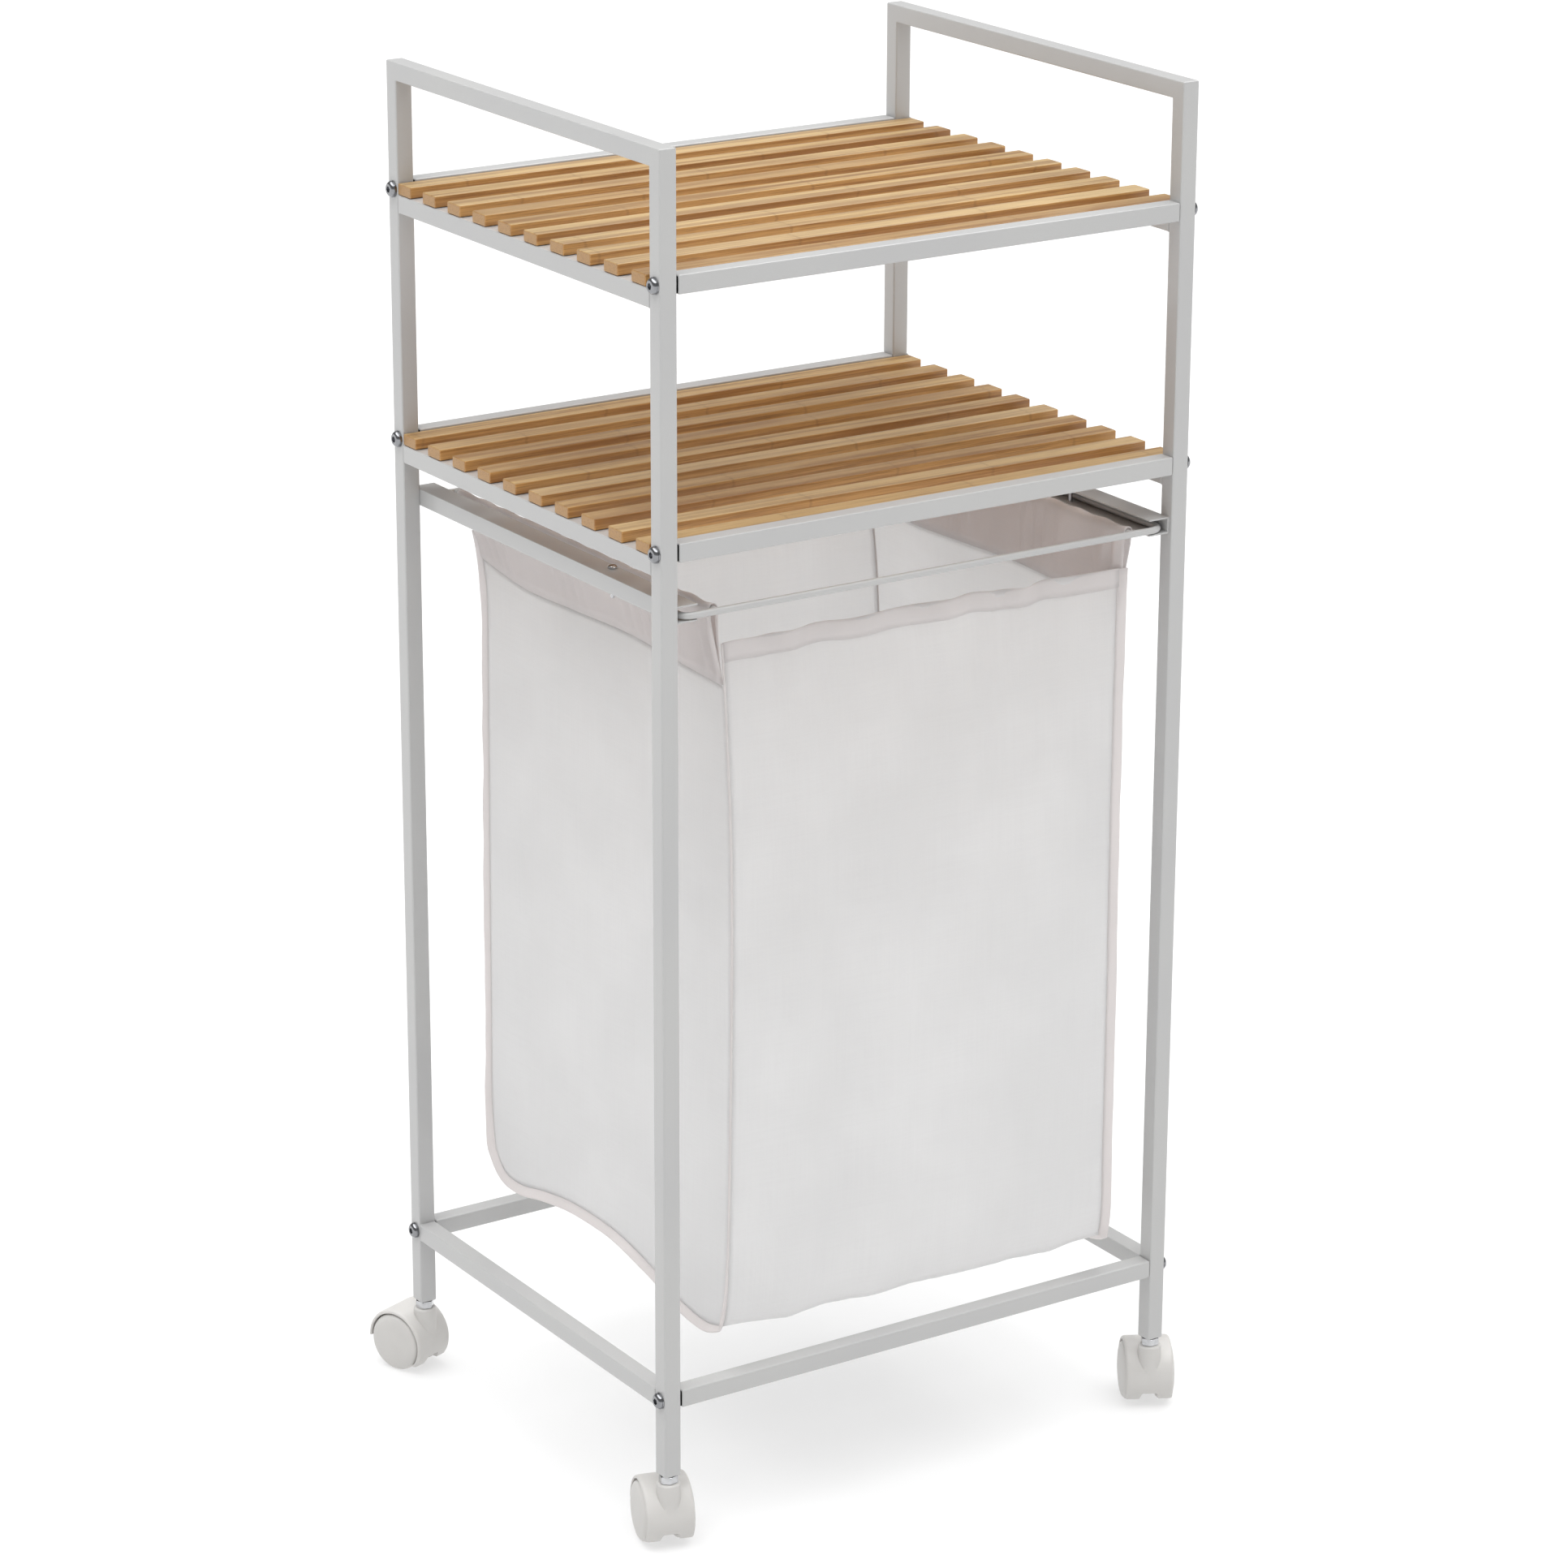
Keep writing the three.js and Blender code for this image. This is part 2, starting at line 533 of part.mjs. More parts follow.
// Bolts, their heads on the outer faces of the posts
for (const [sideName, side] of Object.entries(SIDES)) {
  for (const [endName, end] of Object.entries(ENDS)) {
    for (const [level, z] of Object.entries(CROSS_RAIL_Z)) {
      const mesh = place(`bolt_${sideName}_${endName}_${level}`, bolt(), BRIGHT_STEEL);
      mesh.position.set(side * (HALF_W + BOLT_HOLE_GAP), end * POST_Y, z);
      mesh.rotation.y = (side * Math.PI) / 2;
    }
  }
}

// Carriage, bag and the screws that stop the pull
place('wire_carriage', wireCarriage(), POWDER_COAT);
place('bag', bag(), CLOTH_WHITE);
for (const [sideName, side] of Object.entries(SIDES)) {
  const mesh = place(`stop_screw_${sideName}`, stopScrew(), BRIGHT_STEEL);
  const headZ = RUNNER_Z + RUNNER_HEIGHT / 2 + STOP_HOLE_GAP;
  mesh.position.set(side * (INNER_X - STOP_FROM_POST), -HALF_D + STOP_SETBACK, headZ);
}

// Casters under the four posts, each turned about its stem
for (const [corner, angle] of Object.entries(CASTER_ANGLES)) {
  const [endName, sideName] = corner.split('_');
  const caster = new THREE.Group();
  caster.position.set(SIDES[sideName] * POST_X, ENDS[endName] * POST_Y, 0);
  caster.rotation.z = THREE.MathUtils.degToRad(angle - 90);
  trolley.add(caster);
  place(`caster_${corner}_stem`, casterStem(), BRIGHT_STEEL, caster);
  place(`caster_${corner}_hood`, casterHood(), CASTER_WHITE, caster);
  place(`caster_${corner}_wheel_a`, casterWheel(-1), CASTER_WHITE, caster);
  place(`caster_${corner}_wheel_b`, casterWheel(1), CASTER_WHITE, caster);
}

// The origin is on the floor at the middle of the whole trolley, casters as they stand
trolley.updateMatrixWorld(true);
const extent = new THREE.Box3().setFromObject(trolley, true);
const middle = extent.getCenter(new THREE.Vector3());
trolley.position.set(-middle.x, -middle.y, 0);

export default trolley;
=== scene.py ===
"""The looks of a laundry trolley.

Two welded square-tube side frames, six bolted cross rails, two slatted bamboo shelves, a sewn cloth bag
that hangs from a sliding wire carriage, and four twin-wheel casters. Lengths are in metres. Every class
works in the trolley's own frame, centred between its posts, and hands its meshes over in the shared frame.
"""

from __future__ import annotations

import logging
import math
from collections.abc import Callable, Sequence
from dataclasses import dataclass, field
from enum import Enum

import bmesh
import bpy
from mathutils import Matrix, Vector, noise

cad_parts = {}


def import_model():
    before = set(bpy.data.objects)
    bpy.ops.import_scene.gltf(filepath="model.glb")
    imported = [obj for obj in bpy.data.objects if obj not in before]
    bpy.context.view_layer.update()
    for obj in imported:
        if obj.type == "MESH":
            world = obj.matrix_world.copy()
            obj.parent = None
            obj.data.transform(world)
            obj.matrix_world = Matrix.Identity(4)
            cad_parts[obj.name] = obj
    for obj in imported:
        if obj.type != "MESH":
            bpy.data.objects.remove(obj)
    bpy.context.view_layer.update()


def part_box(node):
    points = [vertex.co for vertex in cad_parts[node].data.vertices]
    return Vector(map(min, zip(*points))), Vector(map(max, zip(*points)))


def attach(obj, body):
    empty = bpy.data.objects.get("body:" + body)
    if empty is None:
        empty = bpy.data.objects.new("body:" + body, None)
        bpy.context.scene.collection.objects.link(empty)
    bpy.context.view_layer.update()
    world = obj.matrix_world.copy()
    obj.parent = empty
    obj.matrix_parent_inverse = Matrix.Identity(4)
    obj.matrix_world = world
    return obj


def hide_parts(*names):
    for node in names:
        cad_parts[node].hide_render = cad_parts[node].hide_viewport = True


log = logging.getLogger("trolley")

Triple = tuple[float, float, float]
Node = bpy.types.Node
Socket = bpy.types.NodeSocket
Object = bpy.types.Object


class Side(Enum):
    """Left or right, as the sign of X."""

    LEFT = -1
    RIGHT = 1

    @property
    def word(self) -> str:
        """The side's name as the frame's nodes spell it."""
        return self.name.lower()


class End(Enum):
    """Front or back, as the sign of Y."""

    FRONT = -1
    BACK = 1

    @property
    def word(self) -> str:
        """The end's name as the frame's nodes spell it."""
        return self.name.lower()


class Level(Enum):
    """The three heights at which cross rails are bolted on."""

    UPPER = "upper"
    LOWER = "lower"
    BASE = "base"


class Slot(Enum):
    """Material slots of the record."""

    COAT = "powder_coat"
    BAMBOO = "bamboo"
    STEEL = "bright_steel"
    CLOTH = "bag_cloth"
    PLASTIC = "caster_plastic"


FRAME_BODY = "frame"
CARRIAGE_BODY = "bag_carriage"


@dataclass(frozen=True)
class Layout:
    """Main sizes and heights of the trolley, shared by all of its parts."""

    centre: Vector
    width: float = 0.430
    depth: float = 0.358
    height: float = 0.989
    tube: float = 0.013
    post_foot: float = 0.056
    upper_side: float = 0.890
    lower_side: float = 0.711
    base: float = 0.1135
    shelf_rail_step: float = 0.0095
    wire_z: float = 0.6755
    wire_radius: float = 0.0025
    wire_x: float = 0.197
    wire_front: float = -0.175
    wire_back: float = 0.1717
    hanger_x: float = 0.170

    @classmethod
    def from_frame(cls) -> Layout:
        """Finds the trolley's middle from its two side frames.

        Returns:
            The layout, with the place of the trolley's own frame in the shared one.
        """
        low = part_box("side_frame_left")[0]
        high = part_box("side_frame_right")[1]
        return cls(centre=Vector(((low.x + high.x) / 2, (low.y + high.y) / 2, 0.0)))

    @property
    def post_x(self) -> float:
        """Middle of the right posts."""
        return (self.width - self.tube) / 2

    @property
    def post_y(self) -> float:
        """Middle of the back posts."""
        return (self.depth - self.tube) / 2

    @property
    def inner_x(self) -> float:
        """Inner face of the right posts."""
        return self.width / 2 - self.tube

    @property
    def inner_y(self) -> float:
        """Inner face of the back posts."""
        return self.depth / 2 - self.tube

    def rail_z(self, level: Level) -> float:
        """Middle height of the cross rails.

        Args:
            level: Which pair of cross rails.

        Returns:
            Height above the floor.
        """
        heights = {
            Level.UPPER: self.upper_side + self.shelf_rail_step,
            Level.LOWER: self.lower_side + self.shelf_rail_step,
            Level.BASE: self.base,
        }
        return heights[level]


# --------------------------------------------------------------------------------------------------
# Modelling steps


class Bench:
    """Modelling steps taken with Blender's own operators, one object at a time."""

    @staticmethod
    def only(obj: Object) -> None:
        """Selects one object, makes it active and leaves all others alone."""
        bpy.ops.object.select_all(action="DESELECT")
        obj.select_set(True)
        bpy.context.view_layer.objects.active = obj

    @classmethod
    def block(cls, name: str, low: Sequence[float], high: Sequence[float]) -> Object:
        """Adds a box between two corners.

        Args:
            name: Name of the new piece.
            low: Lowest corner.
            high: Highest corner.

        Returns:
            The box, with its place and size in its mesh.
        """
        bpy.ops.object.select_all(action="DESELECT")
        lowest, highest = Vector(low), Vector(high)
        bpy.ops.mesh.primitive_cube_add(size=1, location=(lowest + highest) / 2)
        obj = bpy.context.active_object
        obj.name = name
        obj.scale = highest - lowest
        cls.settle(obj)
        return obj

    @classmethod
    def drum(cls, name: str, radius: float, low: float, high: float, sides: int) -> Object:
        """Adds an upright cylinder about the Z axis.

        Args:
            name: Name of the new piece.
            radius: Its radius.
            low: Its lower end.
            high: Its upper end.
            sides: Number of sides.

        Returns:
            The cylinder.
        """
        bpy.ops.object.select_all(action="DESELECT")
        bpy.ops.mesh.primitive_cylinder_add(
            vertices=sides, radius=radius, depth=high - low, location=(0, 0, (low + high) / 2)
        )
        obj = bpy.context.active_object
        obj.name = name
        cls.settle(obj)
        return obj

    @classmethod
    def turned(cls, name: str, profile: Sequence[tuple[float, float]], sides: int) -> Object:
        """Spins a profile about the Z axis into a closed shape.

        Args:
            name: Name of the new piece.
            profile: Pairs of radius and height, which start and end on the axis or close on themselves.
            sides: Steps of the spin.

        Returns:
            The turned shape.
        """
        mesh = bpy.data.meshes.new(name)
        edges = [(i, i + 1) for i in range(len(profile) - 1)]
        mesh.from_pydata([(radius, 0.0, height) for radius, height in profile], edges, [])
        obj = bpy.data.objects.new(name, mesh)
        bpy.context.scene.collection.objects.link(obj)
        cls.only(obj)
        bpy.ops.object.mode_set(mode="EDIT")
        bpy.ops.mesh.select_all(action="SELECT")
        bpy.ops.mesh.spin(steps=sides, angle=2 * math.pi, center=(0, 0, 0), axis=(0, 0, 1))
        bpy.ops.mesh.select_all(action="SELECT")
        bpy.ops.mesh.remove_doubles(threshold=0.000002)
        bpy.ops.mesh.normals_make_consistent(inside=False)
        cls.done()
        return obj

    @classmethod
    def fuse(cls, obj: Object, other: Object) -> None:
        """Unites a solid with another, which is used up."""
        cls.apply(obj, "BOOLEAN", operation="UNION", solver="EXACT", object=other)
        bpy.data.objects.remove(other)

    @classmethod
    def settle(cls, obj: Object) -> None:
        """Puts an object's place, turn and size into its mesh."""
        cls.only(obj)
        bpy.ops.object.transform_apply(location=True, rotation=True, scale=True)

    @classmethod
    def pick(cls, obj: Object, test: Callable[[Vector, Vector], bool]) -> None:
        """Enters edit mode and selects the faces that pass a test.

        Args:
            obj: The piece.
            test: Takes a face's centre and normal.
        """
        if bpy.context.mode != "EDIT_MESH":
            cls.only(obj)
            bpy.ops.object.mode_set(mode="EDIT")
        bpy.ops.mesh.select_mode(type="FACE")
        bpy.ops.mesh.select_all(action="DESELECT")
        cage = bmesh.from_edit_mesh(obj.data)
        for face in cage.faces:
            face.select_set(test(face.calc_center_median(), face.normal))
        bmesh.update_edit_mesh(obj.data)

    @staticmethod
    def done() -> None:
        """Leaves edit mode."""
        bpy.ops.object.mode_set(mode="OBJECT")

    @staticmethod
    def extrude(move: Sequence[float]) -> None:
        """Extrudes what is selected in edit mode and moves it."""
        bpy.ops.mesh.extrude_region_move(TRANSFORM_OT_translate={"value": tuple(move)})

    @staticmethod
    def resize(factors: Sequence[float], centre: Sequence[float]) -> None:
        """Scales what is selected in edit mode about a point."""
        bpy.ops.transform.resize(value=tuple(factors), center_override=tuple(centre))

    @classmethod
    def apply(cls, obj: Object, kind: str, **settings: object) -> None:
        """Adds a modifier and applies it.

        Args:
            obj: The piece.
            kind: The modifier's type.
            **settings: Its settings by name.
        """
        modifier = obj.modifiers.new(kind.title(), kind)
        for key, value in settings.items():
            setattr(modifier, key, value)
        cls.only(obj)
        bpy.ops.object.modifier_apply(modifier=modifier.name)

    @classmethod
    def soften(cls, obj: Object, width: float, segments: int = 3, angle: float = 30.0) -> None:
        """Rounds the sharp edges and shades the rest smooth.

        Args:
            obj: The piece.
            width: How far the rounding reaches from each edge.
            segments: Steps of the rounding.
            angle: Edges sharper than this many degrees are rounded.
        """
        cls.apply(
            obj, "BEVEL", width=width, segments=segments, limit_method="ANGLE",
            angle_limit=math.radians(angle), use_clamp_overlap=True,
        )
        cls.smooth(obj)

    @classmethod
    def smooth(cls, obj: Object, angle: float = 60.0) -> None:
        """Shades smooth up to an angle in degrees, with flats kept flat."""
        cls.only(obj)
        bpy.ops.object.shade_smooth_by_angle(angle=math.radians(angle))
        cls.apply(obj, "WEIGHTED_NORMAL", keep_sharp=True, weight=80)

    @classmethod
    def carve(cls, obj: Object, tool: Object) -> None:
        """Cuts one solid out of another and removes the cutter."""
        cls.apply(obj, "BOOLEAN", operation="DIFFERENCE", solver="EXACT", object=tool)
        bpy.data.objects.remove(tool)

    @classmethod
    def join(cls, name: str, parts: Sequence[Object]) -> Object:
        """Joins several objects into the first.

        Args:
            name: Name of the result.
            parts: The objects.

        Returns:
            The joined object.
        """
        bpy.ops.object.select_all(action="DESELECT")
        for part in parts:
            part.select_set(True)
        bpy.context.view_layer.objects.active = parts[0]
        if len(parts) > 1:
            bpy.ops.object.join()
        parts[0].name = name
        return parts[0]

    @staticmethod
    def copy(obj: Object, name: str, change: Matrix) -> Object:
        """Copies a piece with a mesh of its own.

        Args:
            obj: The piece.
            name: Name of the copy.
            change: Where the copy goes.

        Returns:
            The copy.
        """
        twin = obj.copy()
        twin.data = obj.data.copy()
        twin.name = name
        twin.data.transform(change)
        if change.determinant() < 0:
            twin.data.flip_normals()
        bpy.context.scene.collection.objects.link(twin)
        return twin

    @staticmethod
    def cloth(name: str, points: Sequence[Vector], faces: Sequence[Sequence[int]],
              plan: Sequence[tuple[float, float]]) -> Object:
        """Makes a cloth mesh whose UV map holds its flat cut in metres.

        Args:
            name: Name of the new piece.
            points: Its points.
            faces: Its faces, as indices of points.
            plan: The flat place of each point.

        Returns:
            The cloth.
        """
        mesh = bpy.data.meshes.new(name)
        mesh.from_pydata([tuple(p) for p in points], [], [tuple(f) for f in faces])
        layer = mesh.uv_layers.new(name="cut")
        for loop in mesh.loops:
            layer.data[loop.index].uv = plan[loop.vertex_index]
        for polygon in mesh.polygons:
            polygon.use_smooth = True
        obj = bpy.data.objects.new(name, mesh)
        bpy.context.scene.collection.objects.link(obj)
        return obj


# --------------------------------------------------------------------------------------------------
# Finishes


class Tree:
    """A short way to write shader nodes."""

    def __init__(self, tree: bpy.types.NodeTree) -> None:
        """Starts from an empty node tree."""
        self.tree = tree
        tree.nodes.clear()

    def node(self, kind: str, inputs: dict[str | int, object] | None = None, **settings: object) -> Node:
        """Adds a node.

        Args:
            kind: Its type.
            inputs: Values or sockets for its inputs, by name or number.
            **settings: Its settings by name.

        Returns:
            The node.
        """
        node = self.tree.nodes.new(kind)
        for key, value in settings.items():
            setattr(node, key, value)
        for key, value in (inputs or {}).items():
            if isinstance(value, bpy.types.NodeSocket):
                self.tree.links.new(value, node.inputs[key])
            else:
                node.inputs[key].default_value = value
        return node

    def maths(self, operation: str, *values: object, clamp: bool = False) -> Socket:
        """Adds a Math node on values or sockets and returns its output."""
        node = self.node("ShaderNodeMath", dict(enumerate(values)), operation=operation, use_clamp=clamp)
        return node.outputs[0]

    def spread(
        self, value: Socket, low: float, high: float, to_low: float = 0.0, to_high: float = 1.0
    ) -> Socket:
        """Maps a range of a value smoothly onto another and returns the output."""
        inputs = {"Value": value, "From Min": low, "From Max": high, "To Min": to_low, "To Max": to_high}
        return self.node("ShaderNodeMapRange", inputs, interpolation_type="SMOOTHSTEP").outputs[0]

    def blend(self, share: Socket | float, first: object, second: object, kind: str = "MIX") -> Socket:
        """Mixes two colours and returns the output."""
        node = self.node("ShaderNodeMix", data_type="RGBA", blend_type=kind)
        for index, value in ((0, share), (6, first), (7, second)):
            if isinstance(value, bpy.types.NodeSocket):
                self.tree.links.new(value, node.inputs[index])
            else:
                node.inputs[index].default_value = value
        return node.outputs[2]

    def noise(self, vector: Socket, scale: float, detail: float = 2.0, roughness: float = 0.5) -> Socket:
        """Adds a noise texture and returns its value."""
        inputs = {"Vector": vector, "Scale": scale, "Detail": detail, "Roughness": roughness}
        return self.node("ShaderNodeTexNoise", inputs).outputs[0]

    def mapped(self, vector: Socket, scale: Triple, shift: Triple = (0.0, 0.0, 0.0)) -> Socket:
        """Scales and shifts a vector and returns the output."""
        inputs = {"Vector": vector, "Scale": scale, "Location": shift}
        return self.node("ShaderNodeMapping", inputs).outputs[0]

    def place(self) -> Socket:
        """The piece's object coordinates."""
        return self.node("ShaderNodeTexCoord").outputs["Object"]

    def cut(self) -> Socket:
        """The piece's flat cut, from its UV map."""
        return self.node("ShaderNodeUVMap", uv_map="cut").outputs[0]


def linear(red: float, green: float, blue: float, alpha: float = 1.0) -> tuple[float, float, float, float]:
    """A colour from screen values of 0 to 255.

    Args:
        red: Red.
        green: Green.
        blue: Blue.
        alpha: Alpha.

    Returns:
        The colour as shader sockets take it.
    """
    parts = [v / 255 for v in (red, green, blue)]
    made = [v / 12.92 if v <= 0.04045 else ((v + 0.055) / 1.055) ** 2.4 for v in parts]
    return (made[0], made[1], made[2], alpha)


class Effects:
    """Shader node groups that more than one finish uses."""

    _made: dict[str, bpy.types.NodeTree] = {}

    @classmethod
    def group(cls, name: str, inputs: dict[str, float], outputs: Sequence[str],
              vectors: Sequence[str] = ("Vector",)) -> tuple[Tree, Node, Node, bpy.types.NodeTree]:
        """Starts a node group with named sockets.

        Args:
            name: The group's name.
            inputs: Its number inputs with their first values.
            outputs: Its number outputs.
            vectors: Its vector inputs.

        Returns:
            The tree helper, its input node, its output node and the group.
        """
        made = bpy.data.node_groups.new(name, "ShaderNodeTree")
        for key in vectors:
            made.interface.new_socket(key, in_out="INPUT", socket_type="NodeSocketVector")
        for key, value in inputs.items():
            socket = made.interface.new_socket(key, in_out="INPUT", socket_type="NodeSocketFloat")
            socket.default_value = value
        for key in outputs:
            made.interface.new_socket(key, in_out="OUTPUT", socket_type="NodeSocketFloat")
        tree = Tree(made)
        start = tree.node("NodeGroupInput")
        end = tree.node("NodeGroupOutput")
        cls._made[name] = made
        return tree, start, end, made

    @classmethod
    def mottle(cls) -> bpy.types.NodeTree:
        """Broad soft clouds and fine pits, for anything coated, moulded or plated.

        Returns:
            A group with outputs Clouds and Pits, both about 0 to 1.
        """
        if "mottle" in cls._made:
            return cls._made["mottle"]
        scales = {"Cloud Scale": 20.0, "Pit Scale": 900.0}
        tree, start, end, made = cls.group("mottle", scales, ("Clouds", "Pits"))
        for scale, output, detail in (("Cloud Scale", "Clouds", 3.0), ("Pit Scale", "Pits", 1.0)):
            inputs = {"Vector": start.outputs["Vector"], "Scale": start.outputs[scale], "Detail": detail}
            texture = tree.node("ShaderNodeTexNoise", inputs)
            tree.tree.links.new(tree.spread(texture.outputs[0], 0.3, 0.7), end.inputs[output])
        return made

    @classmethod
    def weave(cls) -> bpy.types.NodeTree:
        """A plain weave on a flat cut in metres.

        Returns:
            A group with outputs Thread (0 in the gaps, 1 on the threads), Slub (uneven yarn) and Height.
        """
        if "weave" in cls._made:
            return cls._made["weave"]
        yarn = {"Threads": 1400.0, "Slub": 0.5}
        tree, start, end, made = cls.group("weave", yarn, ("Thread", "Slub", "Height"))
        parts = tree.node("ShaderNodeSeparateXYZ", {0: start.outputs["Vector"]})
        turns = tree.maths("MULTIPLY", start.outputs["Threads"], math.pi)
        waves = []
        for axis in (0, 1):
            along = tree.maths("MULTIPLY", parts.outputs[axis], turns)
            waves.append(tree.maths("ABSOLUTE", tree.maths("SINE", along)))
        warp = tree.maths("POWER", waves[0], 0.6)
        weft = tree.maths("POWER", waves[1], 0.6)
        thread = tree.maths("MULTIPLY", warp, weft)
        slubs = []
        for scale in ((900.0, 14.0, 1.0), (14.0, 900.0, 1.0)):
            stretched = tree.mapped(start.outputs["Vector"], scale)
            slubs.append(tree.noise(stretched, 1.0, 2.0))
        slub = tree.maths("MULTIPLY", slubs[0], slubs[1])
        uneven = tree.maths("MULTIPLY", tree.spread(slub, 0.15, 0.4), start.outputs["Slub"])
        height = tree.maths("ADD", thread, tree.maths("MULTIPLY", uneven, 0.8))
        for value, key in ((thread, "Thread"), (uneven, "Slub"), (height, "Height")):
            tree.tree.links.new(value, end.inputs[key])
        return made


class Finish:
    """A material made once and given to any number of pieces."""

    name: str

    def build(self, tree: Tree) -> None:
        """Fills the material's node tree."""
        raise NotImplementedError

    def material(self) -> bpy.types.Material:
        """The finished material, made on first use."""
        found = bpy.data.materials.get(self.name)
        if found is None:
            found = bpy.data.materials.new(self.name)
            found.use_nodes = True
            self.build(Tree(found.node_tree))
        return found

    @staticmethod
    def mottled(tree: Tree, cloud_scale: float, pit_scale: float) -> tuple[Socket, Socket]:
        """Adds the mottle group on object coordinates and returns its clouds and pits."""
        mottle = tree.node("ShaderNodeGroup", node_tree=Effects.mottle())
        tree.tree.links.new(tree.place(), mottle.inputs["Vector"])
        mottle.inputs["Cloud Scale"].default_value = cloud_scale
        mottle.inputs["Pit Scale"].default_value = pit_scale
        return mottle.outputs["Clouds"], mottle.outputs["Pits"]

    @staticmethod
    def surface(tree: Tree, inputs: dict[str, object]) -> Node:
        """Adds a Principled shader and the material's output, and joins them."""
        shader = tree.node("ShaderNodeBsdfPrincipled", inputs)
        out = tree.node("ShaderNodeOutputMaterial")
        tree.tree.links.new(shader.outputs[0], out.inputs["Surface"])
        return shader


@dataclass(frozen=True)
class PowderCoat(Finish):
    """Satin light grey-white powder coat with a little orange peel."""

    name: str = "powder coat"
    light: Triple = (187, 187, 186)
    shade: Triple = (184, 184, 184)
    peel: float = 0.10

    def build(self, tree: Tree) -> None:
        """Fills the material's node tree."""
        clouds, pits = self.mottled(tree, 9.0, 1100.0)
        colour = tree.blend(clouds, linear(*self.shade), linear(*self.light))
        rough = tree.spread(clouds, 0.0, 1.0, 0.30, 0.34)
        bump = tree.node("ShaderNodeBump", {"Height": pits, "Strength": self.peel, "Distance": 0.0002})
        self.surface(tree, {
            "Base Color": colour, "Roughness": rough, "Normal": bump.outputs[0], "Coat Weight": 0.35,
            "Coat Roughness": 0.12,
        })


@dataclass(frozen=True)
class BrightSteel(Finish):
    """Plated steel, bright with faint polishing haze."""

    name: str = "bright steel"
    tone: Triple = (200, 201, 203)
    rough: float = 0.10

    def build(self, tree: Tree) -> None:
        """Fills the material's node tree."""
        clouds, pits = self.mottled(tree, 240.0, 2600.0)
        colour = tree.blend(clouds, linear(*(v * 0.93 for v in self.tone)), linear(*self.tone))
        rough = tree.spread(clouds, 0.0, 1.0, self.rough * 0.7, self.rough * 1.5)
        bump = tree.node("ShaderNodeBump", {"Height": pits, "Strength": 0.05, "Distance": 0.0001})
        self.surface(tree, {
            "Base Color": colour, "Metallic": 1.0, "Roughness": rough, "Normal": bump.outputs[0],
        })


@dataclass(frozen=True)
class CasterPlastic(Finish):
    """Matte white nylon with the faint grain of its mould."""

    name: str = "caster plastic"
    tone: Triple = (205, 203, 200)

    def build(self, tree: Tree) -> None:
        """Fills the material's node tree."""
        clouds, pits = self.mottled(tree, 60.0, 1700.0)
        colour = tree.blend(clouds, linear(*(v * 0.985 for v in self.tone)), linear(*self.tone))
        rough = tree.spread(clouds, 0.0, 1.0, 0.42, 0.52)
        bump = tree.node("ShaderNodeBump", {"Height": pits, "Strength": 0.10, "Distance": 0.0001})
        self.surface(tree, {
            "Base Color": colour, "Roughness": rough, "Normal": bump.outputs[0], "Subsurface Weight": 0.12,
            "Subsurface Radius": (0.004, 0.0038, 0.0034), "Subsurface Scale": 1.0,
        })


